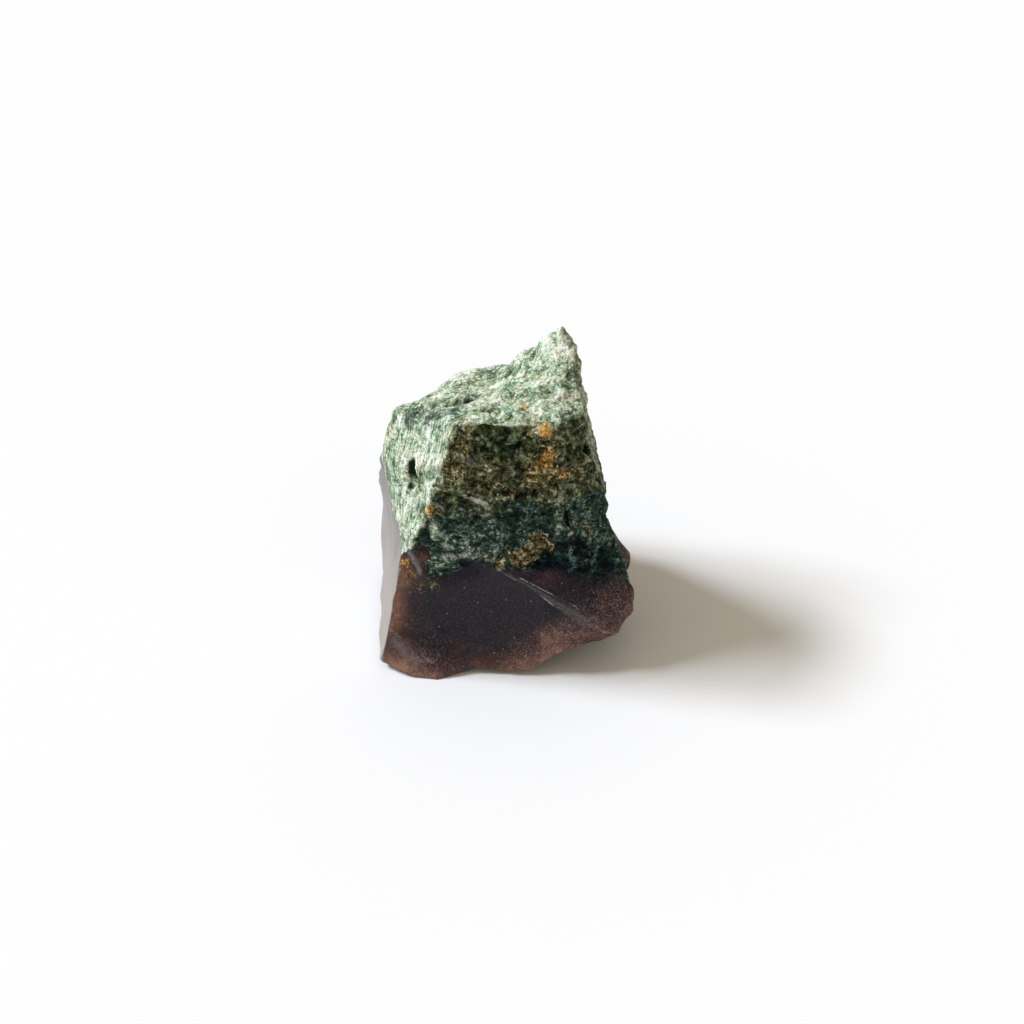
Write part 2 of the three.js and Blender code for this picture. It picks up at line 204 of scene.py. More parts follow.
lump = fine_copy(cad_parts["stone"])
print("fine copy:", len(lump.data.vertices), "points,", len(lump.data.polygons), "faces")

# %% [markdown]
# ## Reading the mesh as arrays
# Every later step works on all the points at once, so the points, edges and faces are
# read into arrays here. Points are in millimetres.

# %% Arrays
TINY = 1e-12


def read(collection, name, kind, width):
    """One property of a mesh collection as an array, with a row for each item."""
    values = np.empty(len(collection) * width, kind)
    collection.foreach_get(name, values)
    return values.reshape(-1, width)


points = read(lump.data.vertices, "co", np.float32, 3).astype(float) / MM
edges = read(lump.data.edges, "vertices", np.int32, 2)
faces = read(lump.data.polygons, "vertices", np.int32, 3)


def unit(rows):
    """The same directions, each one long."""
    return rows / np.maximum(np.linalg.norm(rows, axis=1, keepdims=True), TINY)


def face_normals(places):
    """The direction that each triangle faces, with its area as the length."""
    a, b, c = (places[faces[:, k]] for k in range(3))
    return np.cross(b - a, c - a) / 2


def gather(rows, into, values):
    """Adds each row of values to the point it belongs to."""
    columns = [np.bincount(into, values[:, k], rows) for k in range(values.shape[1])]
    return np.stack(columns, 1)


def point_normals(places):
    """The direction the surface faces at each point."""
    directions = face_normals(places)
    total = sum(gather(len(places), faces[:, k], directions) for k in range(3))
    return unit(total)


lengths = np.linalg.norm(points[edges[:, 0]] - points[edges[:, 1]], axis=1)
print("mean edge:", round(float(lengths.mean()), 2), "mm")

# %% [markdown]
# ## Finding the ridges
# Where two breaks meet, the stone has a ridge, and a ridge has to stay sharp while the
# flats between are smoothed. An edge is a ridge when its two faces turn by more than a
# set angle.

# %% Ridges
RIDGE_ANGLE = math.radians(24)


def ridge_edges():
    """True for each edge whose two faces meet at more than the ridge angle."""
    normals = unit(face_normals(points))
    corners = np.concatenate([faces[:, [k, (k + 1) % 3]] for k in range(3)])
    owners = np.tile(np.arange(len(faces)), 3)
    ends = np.sort(corners, axis=1).astype(np.int64)
    keys = ends[:, 0] * len(points) + ends[:, 1]
    order = np.argsort(keys, kind="stable")
    first, second = owners[order[0::2]], owners[order[1::2]]
    turn = np.einsum("ij,ij->i", normals[first], normals[second])
    ridge_keys = keys[order[0::2]][turn < math.cos(RIDGE_ANGLE)]
    own = np.sort(edges, axis=1).astype(np.int64)
    return np.isin(own[:, 0] * len(points) + own[:, 1], ridge_keys)


is_ridge = ridge_edges()
on_ridge = np.zeros(len(points), bool)
on_ridge[edges[is_ridge].ravel()] = True
print("ridge edges:", int(is_ridge.sum()), "of", len(edges))

# %% [markdown]
# ## Rounding off the facets
# Each point moves halfway to the middle of its neighbours, and in the next step slightly
# more than that back out, which smooths without shrinking. A point on a ridge listens only
# to its neighbours along the ridge, so the ridge keeps its edge. The flat the stone stands
# on isn't touched.

# %% Smoothing
SMOOTH_ROUNDS = 14
STEP_IN = 0.50
STEP_OUT = -0.52
FLAT_HEIGHT = 0.02

sources = np.concatenate([edges[:, 0], edges[:, 1]])
targets = np.concatenate([edges[:, 1], edges[:, 0]])
everywhere = np.ones(len(sources))
standing = points[:, 2] < FLAT_HEIGHT


def neighbour_mean(values, weights):
    """For each point, the mean of its neighbours' values by those weights."""
    total = gather(len(values), targets, values[sources] * weights[:, None])
    share = np.bincount(targets, weights, len(values))
    return total / np.maximum(share, TINY)[:, None]


def spread(values, rounds):
    """The values after each point has shared half with its neighbours, many times."""
    rows = values.reshape(len(values), -1)
    for _ in range(rounds):
        rows = 0.5 * rows + 0.5 * neighbour_mean(rows, everywhere)
    return rows.reshape(values.shape)


def smoothed(places):
    """The places with the facets rounded off and the ridges kept."""
    listens = (~on_ridge[targets] | np.concatenate([is_ridge, is_ridge])).astype(float)
    moved = places.copy()
    for step in [STEP_IN, STEP_OUT] * SMOOTH_ROUNDS:
        change = neighbour_mean(moved, listens) - moved
        change[standing] = 0
        moved += change * step
    return moved


smooth = smoothed(points)
normals = point_normals(smooth)
print("largest move:", round(float(np.linalg.norm(smooth - points, axis=1).max()), 2), "mm")

# %% [markdown]
# ## Tools for placing colour and grain
# The masks and the grain below are made from a few things: where a point is, which way the
# stone faces there over a millimetre or so, soft noise, noise drawn out along a direction,
# and spots given by name. Each noise has a number of its own, its seed, so that no two
# have their lumps in the same places.

# %% Mask tools
BROAD_ROUNDS = 14
FORWARD = -0.7
OCTAVES = 3
FINER_BY = 2.0
FADE_OF_FINER = 1.0
SHIFT_PER_SEED = np.array((17.3, 5.1, 9.7))

broad = unit(spread(normals, BROAD_ROUNDS))
x, y, z = smooth.T


def between(values, start, end):
    """0 at start, 1 at end and a smooth rise between; start may be above end."""
    share = np.clip((values - start) / (end - start), 0, 1)
    return share * share * (3 - 2 * share)


def squeezed(along, draw):
    """The places pressed together along a direction, so that noise there is drawn out."""
    direction = np.array(along) / np.linalg.norm(along)
    return smooth - np.outer((smooth @ direction) * (1 - 1 / draw), direction)


def cloud(wave, seed, places=smooth):
    """Soft noise from about -1 to 1, with lumps one wave across, in mm."""
    rows = (places / wave + seed * SHIFT_PER_SEED).tolist()
    return np.array([
        noise.fractal(Vector(row), FADE_OF_FINER, FINER_BY, OCTAVES) for row in rows
    ])


def spots(marks):
    """How strongly each point is marked by a list of (name, centre, reach, strength)."""
    total = np.zeros(len(smooth))
    for _, centre, reach, strength in marks:
        away = np.linalg.norm(smooth - np.array(centre), axis=1) / reach
        total += strength * np.exp(-away * away)
    return total


def share_of(mask):
    """A mask's mean over the whole stone, to print."""
    return round(float(mask.mean()), 3)


print("share of points facing the front:", share_of(broad[:, 1] < FORWARD))

# %% [markdown]
# ## Where the crust ends
# The crust is a layer that dips to the right. Its lower edge is a height for each place,
# moved up and down by noise, so that it frays, and by a few named nicks and drips. On the
# left the layer is cut off higher up by a smooth break. On the right it fades out slowly
# into the chalcedony.

# %% Crust
CRUST_EDGE = 13.6
CRUST_DIP = 0.24
DIP_START = -1.0
BACK_RISE = 0.25
BACK_START = -9.0
BACK_RUN = (-3.0, 12.0)
LEFT_REACH = 10.0
LEFT_BREAK_RISE = 0.3
LEFT_BREAK_START = -4.0
LEFT_BREAK_RUN = 4.5
COARSE_FRAY, FINE_FRAY = 0.8, 0.48
COARSE_FRAY_WAVE, FINE_FRAY_WAVE = 3.0, 0.9
CRISP, FADING = 0.25, 2.0
FADING_RUN = (2.0, 8.0)
EDGE_SHIFTS = [
    # name, centre in mm, reach in mm, how far the edge is let down in mm
    ("nick above the chip", (-8.6, -9.7, 14.4), 1.3, -1.2),
    ("drip beside the chip", (-6.8, -9.9, 11.8), 1.5, 3.0),
    ("drip, middle", (-4.4, -10.1, 12.8), 0.9, 0.9),
    ("above the bevel", (5.0, -11.0, 12.6), 1.6, -0.6),
]


def crust_height():
    """The height of each point above the crust's lower edge, in mm."""
    dip = -CRUST_DIP * np.clip(x - DIP_START, 0, None)
    backwards = BACK_RISE * np.clip(y - BACK_START, *BACK_RUN)
    left = np.clip(-x / LEFT_REACH, 0, 1)
    rise = LEFT_BREAK_RISE * np.clip(y - LEFT_BREAK_START, 0, LEFT_BREAK_RUN) ** 2
    return z - (CRUST_EDGE + dip + (backwards + rise) * left)


fray = COARSE_FRAY * cloud(COARSE_FRAY_WAVE, 1) + FINE_FRAY * cloud(FINE_FRAY_WAVE, 2)
above_edge = crust_height() + fray + spots(EDGE_SHIFTS)
softness = CRISP + FADING * between(x, *FADING_RUN)
crust = between(above_edge, -softness, softness)
print("share under crust:", share_of(crust))

# %% [markdown]
# ## Patches of the crust
# A crust isn't even. Some patches are duller, mossier, deeper in colour or freshly broken,
# some are darkened by painted shadow under an overhang, and a strip above the lower left edge
# is full of white crystals. Noise alone would put such patches anywhere, so they are listed
# by name, each where this stone has it.

# %% Patches of the crust
DULL_PATCHES = [
    # name, centre in mm, reach in mm, strength
    ("step on the left of the crown", (-7.4, -4.8, 27.3), 2.3, 0.9),
    ("step, left end", (-9.8, -3.4, 26.2), 1.5, 0.8),
    ("right end of the step", (-4.8, -6.2, 28.8), 1.5, 0.9),
    ("hollow behind the step", (-3.8, -2.8, 27.8), 0.9, 0.9),
    ("lump on the skyline", (-1.0, 2.5, 28.4), 1.6, 1.0),
    ("below the peak", (4.8, -5.6, 30.2), 1.2, 0.6),
    ("right of the peak", (6.6, -3.6, 30.6), 1.2, 0.7),
    ("right end of the brow", (6.0, -8.0, 29.3), 1.3, 0.9),
]
# The shade patches are painted shadow, mostly where the brow and the ledge overhang the front.
SHADE_PATCHES = [
    ("under the brow", (0.8, -9.2, 26.9), 1.0, 0.7),
    ("under the brow, left", (-2.4, -9.2, 26.5), 0.9, 0.9),
    ("between the orange and the side", (6.8, -9.0, 25.4), 1.0, 0.4),
    ("under the ledge", (7.4, -9.0, 23.0), 0.8, 0.4),
]
DEEP_PATCHES = [
    ("right of the gold", (5.2, -10.7, 15.4), 1.5, 0.9),
    ("low right", (7.4, -10.4, 14.4), 1.9, 0.9),
    ("far right", (10.4, -9.7, 12.4), 2.4, 0.7),
    ("above the bevel", (5.2, -10.9, 12.8), 2.2, 1.2),
    ("above the bevel, left", (2.4, -10.8, 13.2), 1.0, 0.6),
    ("middle", (3.6, -10.6, 17.4), 1.3, 0.6),
    ("teal band", (0.4, -10.2, 18.2), 1.6, 0.5),
    ("teal band, left", (-2.4, -9.7, 18.3), 1.2, 0.45),
    ("drip beside the chip", (-5.0, -10.0, 11.9), 0.8, 0.7),
    # The next patch is painted shadow under the crust's overhanging lower edge.
    ("below the lower edge", (-3.6, -10.1, 12.9), 1.0, 0.8),
]
MOSS_PATCHES = [
    ("under the brow, left", (-1.7, -8.8, 28.0), 1.5, 1.0),
    ("under the brow", (0.1, -9.1, 28.2), 1.5, 1.0),
    ("under the brow, right", (1.6, -9.4, 27.9), 1.2, 0.9),
    ("above the ochre", (-0.4, -9.4, 26.1), 0.8, 0.6),
    ("right of the crater", (2.1, -10.1, 20.9), 1.3, 0.9),
    ("below the crater", (0.1, -10.1, 20.1), 1.0, 0.7),
    ("right of the crack", (8.6, -8.7, 18.9), 2.2, 0.8),
    ("side", (7.0, -8.5, 26.2), 1.8, 0.6),
    ("left of the flake", (-5.0, -9.2, 21.0), 1.2, 0.5),
]
FRESH_PATCHES = [
    ("below the brow, right", (2.3, -9.6, 27.9), 1.1, 1.3),
    ("crater", (-0.5, -9.6, 21.4), 1.1, 1.3),
    ("crack", (6.2, -9.8, 18.2), 1.0, 1.3),
]
SALT_STRIP = [
    ("lower left", (-5.5, -9.8, 15.0), 1.9, 1.0),
    ("lower middle", (-2.0, -10.0, 15.4), 1.9, 0.9),
    ("left", (-7.3, -9.7, 16.8), 1.3, 0.6),
    ("drip beside the chip", (-7.0, -9.9, 12.6), 0.9, 0.7),
    ("right of the crack", (8.6, -9.0, 16.3), 1.2, 0.5),
]

PATCH_LISTS = [
    DULL_PATCHES, SHADE_PATCHES, DEEP_PATCHES, MOSS_PATCHES, FRESH_PATCHES, SALT_STRIP,
]
print("patches:", sum(len(marks) for marks in PATCH_LISTS))

# %% [markdown]
# ## White flecks
# A fleck is a pale flake, or a spot where the white crystals stand closer. Small ones are
# strong and have clear edges, and wide ones only lighten the ground a little.

# %% Flecks
FLECKS = [
    ("flake, left", (-2.6, -9.4, 20.4), 0.35, 1.0),
    ("flake, left, tip", (-1.9, -9.5, 20.1), 0.30, 0.8),
    ("flake, right", (5.2, -10.0, 20.6), 0.35, 0.8),
    ("crown, above the brow", (-3.1, -8.0, 29.3), 0.45, 1.0),
    ("left end of the step", (-8.0, -5.4, 26.8), 0.30, 1.0),
    ("beside the orange", (4.6, -10.2, 27.4), 0.28, 0.9),
    ("above the right flake", (5.8, -9.5, 21.8), 0.9, 0.40),
    ("left of the crack", (5.3, -9.8, 19.2), 0.6, 0.45),
    ("crater's rim", (0.7, -9.6, 21.1), 0.25, 0.6),
    ("cheek, above the pit", (-9.3, -4.9, 23.4), 0.9, 0.45),
    ("cheek, below the pit", (-10.1, -6.7, 17.0), 1.5, 0.45),
    ("cheek, by the ridge", (-6.6, -8.4, 24.5), 1.1, 0.55),
    ("cheek, by the ridge, low", (-7.6, -8.9, 20.5), 1.0, 0.30),
    ("upper slope of the peak", (4.0, -3.6, 31.4), 1.6, 0.32),
    ("peak", (5.4, -1.5, 33.3), 1.8, 0.32),
    ("right of the front, high", (7.6, -8.4, 26.4), 2.2, 0.27),
    ("right of the front, low", (8.4, -8.8, 19.8), 3.0, 0.30),
    # The two ledge flecks are a painted highlight, where the top of the ledge catches the
    # light.
    ("ledge", (6.6, -9.3, 23.6), 0.40, 0.55),
    ("ledge, right", (7.6, -8.9, 23.5), 0.40, 0.55),
]

print("flecks:", len(FLECKS))

# %% [markdown]
# ## Pale, weathered crust and dark, fresher crust
# The crown and the cheek have weathered pale. The front is a fresher break, dark green
# below and olive above. The right side is pale only near the top. So the kind of crust
# follows the way a face looks and how high it is, with some noise to fray the borders.
# Each pair of numbers is where a mask starts and where it is full: parts of a direction
# for the faces, and mm for the runs.

# %% Faces
NOT_LEFT_FACES = (-0.39, -0.25)
NOT_UPPER_FACES = (0.62, 0.44)
FORWARD_FACES = (-0.2, -0.5)
RIGHT_FACES = (0.35, 0.75)
CHEEK_FACES = (-0.45, -0.65)
CHEEK_STEEPNESS = (0.7, 0.5)
FRONT_RUN = (-9.8, -8.6)
LOW_RIGHT_RUN = (25.0, 17.0)
OLIVE_RUN = (18.0, 22.0)

FACE_RAGGED, FACE_WAVE = 0.10, 1.2
RIGHT_RAGGED, RIGHT_WAVE = 3.5, 4.0
OLIVE_RAGGED, OLIVE_WAVE = 1.5, 3.0
OLIVE_DIP = 0.1
RIGHT_DARKER = 0.42


def front_mask():
    """1 on the faces that look forwards and neither far left nor far up."""
    facing_right = facing[:, 0] + FACE_RAGGED * cloud(FACE_WAVE, 12)
    facing_up = facing[:, 2] + FACE_RAGGED * cloud(FACE_WAVE, 13)
    forward = between(facing[:, 1], *FORWARD_FACES) * between(x, *FRONT_RUN)
    sides = between(facing_right, *NOT_LEFT_FACES) * between(facing_up, *NOT_UPPER_FACES)
    return np.clip(forward * sides + spots(FRESH_PATCHES), 0, 1)


def patch_mask(marks):
    """1 in the middle of the strong spots of a list, and 0 away from them all."""
    return np.clip(spots(marks), 0, 1)


facing = unit(spread(normals, 3 * BROAD_ROUNDS))
front = front_mask()
right = between(facing[:, 0], *RIGHT_FACES)
low_right = right * between(z + RIGHT_RAGGED * cloud(RIGHT_WAVE, 11), *LOW_RIGHT_RUN)
pale = np.clip(1 - front - low_right, 0, 1) * (1 - RIGHT_DARKER * right)
olive = between(z + OLIVE_RAGGED * cloud(OLIVE_WAVE, 3) - OLIVE_DIP * x, *OLIVE_RUN)
shade = patch_mask(SHADE_PATCHES)
deep = patch_mask(DEEP_PATCHES)
moss = patch_mask(MOSS_PATCHES)
fleck = patch_mask(FLECKS)
dull = patch_mask(DULL_PATCHES)
salt = patch_mask(SALT_STRIP) * front
steep = between(broad[:, 2], *CHEEK_STEEPNESS)
cheek = crust * between(broad[:, 0], *CHEEK_FACES) * steep
print("pale:", share_of(pale), "olive:", share_of(olive), "cheek:", share_of(cheek))

# %% [markdown]
# ## Iron stains
# Stains sit where water has carried iron into the stone. Each one is a soft spot with its
# centre, its reach and its strength, and the material breaks it up. Amber ones are nearly
# pure rust. In the earthy ones the rust is thin, so they look golden or brown.

# %% Stains
AMBER_STAINS = [
    ("brow", (4.0, -10.1, 29.3), 0.8, 1.1),
    ("brow, low", (4.2, -10.4, 28.5), 0.6, 0.5),
    ("below the brow", (4.4, -10.2, 26.6), 0.8, 0.60),
    ("middle", (4.0, -10.0, 25.4), 1.0, 0.50),
    ("lower middle", (3.2, -9.8, 23.8), 1.1, 0.38),
    ("ledge", (5.6, -9.5, 23.5), 0.8, 0.52),
    ("crown", (1.9, -7.0, 29.8), 0.6, 0.8),
    ("left edge of the front", (-7.6, -9.7, 19.2), 0.7, 0.6),
    ("right side", (8.6, -9.0, 16.4), 0.8, 0.5),
    ("top of the left ridge", (-10.3, -9.4, 12.8), 1.0, 0.65),
    ("left ridge", (-9.8, -9.8, 11.4), 1.1, 0.55),
]
EARTH_STAINS = [
    ("brow, left", (2.6, -9.6, 28.7), 1.3, 0.8),
    ("brow, far left", (-3.3, -8.9, 28.9), 0.9, 0.6),
    ("below the brow", (4.4, -10.2, 26.6), 1.2, 0.5),
    ("middle", (3.8, -10.0, 25.0), 1.6, 0.65),
    ("lower middle", (2.8, -9.6, 23.0), 1.4, 0.65),
    ("between the middle and the ledge", (4.9, -9.8, 24.0), 0.9, 0.50),
    ("ledge", (7.2, -9.0, 23.3), 1.0, 0.70),
    ("brown, upper left", (-4.1, -8.9, 26.5), 1.3, 0.70),
    ("brown, left", (-5.2, -9.1, 23.8), 1.8, 0.75),
    ("ochre, upper", (-1.4, -9.6, 24.4), 1.3, 0.55),
    ("ochre, lower", (-0.8, -9.5, 22.8), 1.3, 0.60),
    ("crater", (0.4, -9.7, 21.3), 0.9, 0.45),
    ("left edge of the front", (-7.6, -9.6, 19.2), 0.9, 0.8),
    ("golden, top", (3.5, -10.5, 16.6), 0.8, 0.8),
    ("golden, right", (3.6, -10.6, 15.8), 1.2, 1.1),
    ("golden, lower right", (2.5, -10.7, 14.7), 1.0, 0.8),
    ("golden, middle", (1.1, -10.7, 14.1), 1.2, 0.9),
    ("golden, left", (-0.7, -10.5, 13.5), 0.8, 0.8),
    ("left ridge, lower", (-8.4, -10.1, 10.6), 1.2, 0.60),
    ("left ridge, foot of the drip", (-7.5, -9.9, 9.9), 1.0, 0.50),
]

CLEARLY = 0.3

amber = patch_mask(AMBER_STAINS)
stain = np.clip(amber + spots(EARTH_STAINS), 0, 1)
print("stained:", share_of(stain > CLEARLY))

# %% [markdown]
# ## Where the chalcedony is thin
# Chalcedony lets some light through. Where it is thin, by its edges, that light is painted
# into the colour as a red-brown glow, and where it is thick it looks almost black. From each
# point a few rays are sent into the stone, and the sooner they come out the thinner it is
# there. Some patches are redder than their thickness tells, because the iron in the stone
# isn't even. A few others have lost their gloss, so they mirror no light and look darker.

# %% Thin edges
RAYS = 6
INWARD_SPREAD = math.radians(55)
GLOW_DEPTH = 3.6
THIN_SHARE = 1.2
SKIN = 0.02
HARDLY_BARE, HARDLY_CRUSTED = 0.98, 0.02
WARM_PATCHES = [
    ("belly", (8.0, -11.4, 5.0), 3.4, 0.34),
    ("under the belly", (4.0, -11.5, 3.0), 2.6, 0.22),
    ("right end", (10.5, -10.8, 8.4), 2.6, 0.16),
    ("above the bevel", (4.8, -11.1, 11.6), 2.2, 0.27),
    ("orange, by the bottom right", (4.6, -11.3, 5.0), 1.4, 0.26),
    ("left ridge", (-11.6, -10.2, 7.0), 2.2, 0.36),
    ("left ridge, top", (-10.3, -9.7, 11.5), 1.8, 0.45),
    ("foot", (-10.2, -11.5, 1.8), 2.4, 0.34),
    ("right of the foot", (-8.4, -11.5, 3.9), 1.1, -0.15),
    ("bottom edge", (-3.5, -11.6, 1.6), 1.8, 0.14),
    ("bottom edge, middle", (0.8, -11.6, 1.6), 1.8, 0.14),
    ("beside the chip", (-8.1, -9.8, 13.4), 0.9, 0.36),
    ("dark wedge below the bevel", (4.9, -11.0, 7.9), 0.9, -0.35),
]
MATT_PATCHES = [
    ("above the bevel", (4.8, -11.0, 12.2), 2.2, 1.4),
    ("above the bevel, left", (2.0, -10.9, 12.9), 1.2, 0.9),
    ("above the bevel, right", (8.6, -11.2, 10.7), 2.2, 1.2),
    ("below the crust", (-3.6, -10.2, 12.6), 1.5, 1.6),
    ("below the crust, left", (-5.8, -9.9, 11.4), 1.3, 1.2),
    ("dark wedge below the bevel", (4.9, -11.0, 7.9), 0.8, 0.7),
    ("beside the chip", (-8.1, -9.8, 13.4), 0.9, 0.7),
]

smooth_tree = BVHTree.FromPolygons(smooth.tolist(), faces.tolist())


def ray_directions(axis, spread_angle):
    """Directions in a cone about an axis."""
    side = axis.orthogonal().normalized()
    other = axis.cross(side)
    for k in range(RAYS):
        turn = 2 * math.pi * k / RAYS
        lean = side * math.cos(turn) + other * math.sin(turn)
        yield axis * math.cos(spread_angle) + lean * math.sin(spread_angle)


def ray_mask(chosen, inwards, spread_angle, reach):
    """The mean over a cone of rays of exp(-distance / reach), at the chosen points."""
    result = np.zeros(len(smooth))
    for k in np.flatnonzero(chosen):
        axis = Vector(broad[k]) * (-1 if inwards else 1)
        start = Vector(smooth[k]) + axis * SKIN
        for direction in ray_directions(axis, spread_angle):
            distance = smooth_tree.ray_cast(start, direction)[3]
            if distance is not None:
                result[k] += math.exp(-distance / reach) / RAYS
    return result


thin = ray_mask(crust < HARDLY_BARE, True, INWARD_SPREAD, GLOW_DEPTH)
glow = np.clip(THIN_SHARE * thin + spots(WARM_PATCHES), 0, 1)
matt = patch_mask(MATT_PATCHES)
print("glow, mean over the stone:", share_of(glow))

# %% [markdown]
# ## Where there is a hollow
# Little light reaches the bottom of a pit, so painted shade darkens the pits to a dark
# moss-green, which is partly the fresher crust's own colour too. Rays sent outwards tell a
# pit from open ground: in a pit most of them soon meet its walls. The deepest pits are named
# too, so that they are dark to the rim.

# %% Hollows
OUTWARD_SPREAD = math.radians(42)
PIT_REACH = 1.6
PIT_STRENGTH = 0.6
SHADED_PITS = [
    ("cheek, top", (-9.3, -5.3, 21.9), 0.50, 1.0),
    ("cheek, middle", (-9.3, -5.6, 21.0), 0.65, 1.0),
    ("cheek, low", (-9.6, -6.1, 19.9), 0.50, 1.0),
    ("crown", (-3.7, -2.9, 27.9), 0.75, 0.8),
    ("crown, right", (-2.6, -2.6, 28.2), 0.45, 0.6),
    ("below the peak", (4.3, -4.9, 30.3), 0.40, 0.7),
    ("below the peak, right", (5.3, -6.1, 30.1), 0.40, 0.7),
    ("crater", (0.1, -9.4, 21.4), 0.32, 0.9),
    ("crack, top", (6.0, -9.8, 19.8), 0.30, 1.0),
    ("crack, middle", (6.2, -9.4, 19.0), 0.32, 1.0),
    ("crack, low", (6.4, -9.9, 18.2), 0.28, 1.0),
    ("under the ledge", (7.6, -8.8, 24.2), 0.50, 0.7),
    ("side, high", (8.4, -7.1, 24.8), 0.40, 0.9),
    ("side, low", (9.5, -7.3, 21.2), 0.45, 0.9),
    # The two pits under the brow are the brow's painted shadow.
    ("under the brow", (0.9, -8.8, 27.2), 0.7, 0.6),
    ("under the brow, left", (-2.6, -9.0, 26.9), 0.7, 0.5),
]

hollow = ray_mask(crust > HARDLY_CRUSTED, False, OUTWARD_SPREAD, PIT_REACH)
hollow += PIT_STRENGTH * spots(SHADED_PITS)
print("in a hollow:", share_of(hollow > CLEARLY))

# %% [markdown]
# ## Painted sheen on the chalcedony
# The chalcedony's left side is a glossy face seen almost edge-on, so it mirrors the bright
# room. That reflection is painted on as a pale lavender-grey sheen.

# %% Sheen
SHEEN_FACES = (-0.55, -0.85)

# Painted reflection: a pale sheen where the glossy chalcedony faces left.
painted_sheen = (1 - crust) * between(broad[:, 0], *SHEEN_FACES)
print("frosted:", share_of(painted_sheen))

# %% [markdown]
# ## The bevel and the rough side
# A narrow flat runs down to the right across the front of the chalcedony. It is a bruised
# break, grey with dust, and it widens as it goes. Right of it and below it the chalcedony
# has broken rough.

# %% Bevel
BEVEL_START = np.array((-0.6, -10.8, 12.9))
BEVEL_END = np.array((9.6, -11.6, 5.8))
BEVEL_NARROW = 0.15
BEVEL_WIDE = 0.80
BEVEL_SIDES = (1.15, 0.75)
BEVEL_FADE = (1.0, 0.8)
FOOT = [("foot", (-8.3, -12.2, 1.0), 2.4, 1.0)]
ROUGH_BELOW = 6.0
ROUGH_LEAN = 1.1
ROUGH_RAGGED, ROUGH_WAVE = 1.5, 2.5
ROUGH_RUN = (3.0, 7.0)


def bevel_mask():
    """1 on the bevel, which is a straight band that widens to the right."""
    along = BEVEL_END - BEVEL_START
    run = np.clip((smooth - BEVEL_START) @ along / (along @ along), 0, 1)
    off = np.linalg.norm(smooth - BEVEL_START - np.outer(run, along), axis=1)
    half_width = BEVEL_NARROW + (BEVEL_WIDE - BEVEL_NARROW) * run
    return between(off / half_width, *BEVEL_SIDES) * between(run, *BEVEL_FADE)


bevel = bevel_mask()
rightness = x + ROUGH_LEAN * (ROUGH_BELOW - z) + ROUGH_RAGGED * cloud(ROUGH_WAVE, 5)
rough = (1 - crust) * np.clip(between(rightness, *ROUGH_RUN) + spots(FOOT), 0, 1)
print("bevel:", share_of(bevel), "rough:", share_of(rough))

# %% [markdown]
# ## Grain in the shape itself
# The crust is granular, so its points are pushed in and out by noise of a few sizes. On the
# cheek the grains are drawn out into upright fibres, and on the crown they lie in slanting
# streaks. The chalcedony is left nearly smooth, except for its rough lower right.

# %% Grain
FIBRE_RUN = (0.16, 0.16, 0.97)
STREAK_RUN = (0.87, 0.35, 0.36)
FIBRE_DRAW, STREAK_DRAW = 5, 3
KNOB_WAVE, LUMP_WAVE, SMALL_LUMP_WAVE = 2.6, 1.4, 0.65
FIBRE_WAVE, STREAK_WAVE, WAXY_WAVE = 0.6, 0.7, 2.2
SMALL_LUMPS = 0.8
CROWN_FACES = (0.35, 0.6)
# How far each kind of grain pushes a point, in mm.
FRONT_LUMPS, FRONT_KNOBS = 0.20, 0.24
CROWN_LUMPS, CROWN_STREAKS = 0.084, 0.096
CHEEK_FIBRES, CHEEK_LUMPS = 0.11, 0.033
WAXY_SWELLS, ROUGH_LUMPS = 0.012, 0.06

crown = crust * between(broad[:, 2], *CROWN_FACES)


def grain():
    """How far each point is pushed out, in mm."""
    lumps = cloud(LUMP_WAVE, 6) + SMALL_LUMPS * cloud(SMALL_LUMP_WAVE, 7)
    fibres = cloud(FIBRE_WAVE, 8, squeezed(FIBRE_RUN, FIBRE_DRAW))
    streaks = cloud(STREAK_WAVE, 10, squeezed(STREAK_RUN, STREAK_DRAW))
    on_front = FRONT_LUMPS * lumps + FRONT_KNOBS * cloud(KNOB_WAVE, 14)
    on_crown = CROWN_LUMPS * lumps + CROWN_STREAKS * streaks
    on_cheek = CHEEK_FIBRES * fibres + CHEEK_LUMPS * lumps
    on_crust = on_front * (1 - cheek) * (1 - crown) + on_crown * crown + on_cheek * cheek
    on_waxy = WAXY_SWELLS * cloud(WAXY_WAVE, 9) + ROUGH_LUMPS * lumps * rough
    return crust * on_crust + (1 - crust) * on_waxy


def inside_box(places, low, high):
    """The places, each pulled back onto the box if it is outside it."""
    return np.clip(places, np.array(low) / MM, np.array(high) / MM)


push = np.where(standing, 0, grain())
finished = inside_box(smooth + normals * push[:, None], *solid_bounds)
finished[standing] = points[standing]
lump.data.vertices.foreach_set("co", (finished * MM).astype(np.float32).ravel())
lump.data.polygons.foreach_set("use_smooth", np.ones(len(faces), bool))
lump.data.update()
print("pushed from", round(float(push.min()), 2), "to", round(float(push.max()), 2), "mm")

# %% [markdown]
# ## High and low spots
# High grains are lighter and low ones darker. A point is high when it stands above the mean
# of the ground around it. Ridges of the chalcedony are marked too, because they chip and look
# lighter.

# %% Relief
RELIEF_ROUNDS = 8
RELIEF_HEIGHT = 0.06

ground = spread(finished, RELIEF_ROUNDS)
height = np.einsum("ij,ij->i", finished - ground, normals)
relief = 0.5 + 0.5 * np.clip(height / RELIEF_HEIGHT, -1, 1)
wear = spread(np.where(on_ridge, 1.0, 0.0), 1) * (1 - crust)
print("relief, from", round(float(height.min()), 2), "to", round(float(height.max()), 2), "mm")

# %% [markdown]
# ## Handing the masks to the material
# A mask is kept on the mesh as an attribute, one number for each point, and the material
# reads it by name.

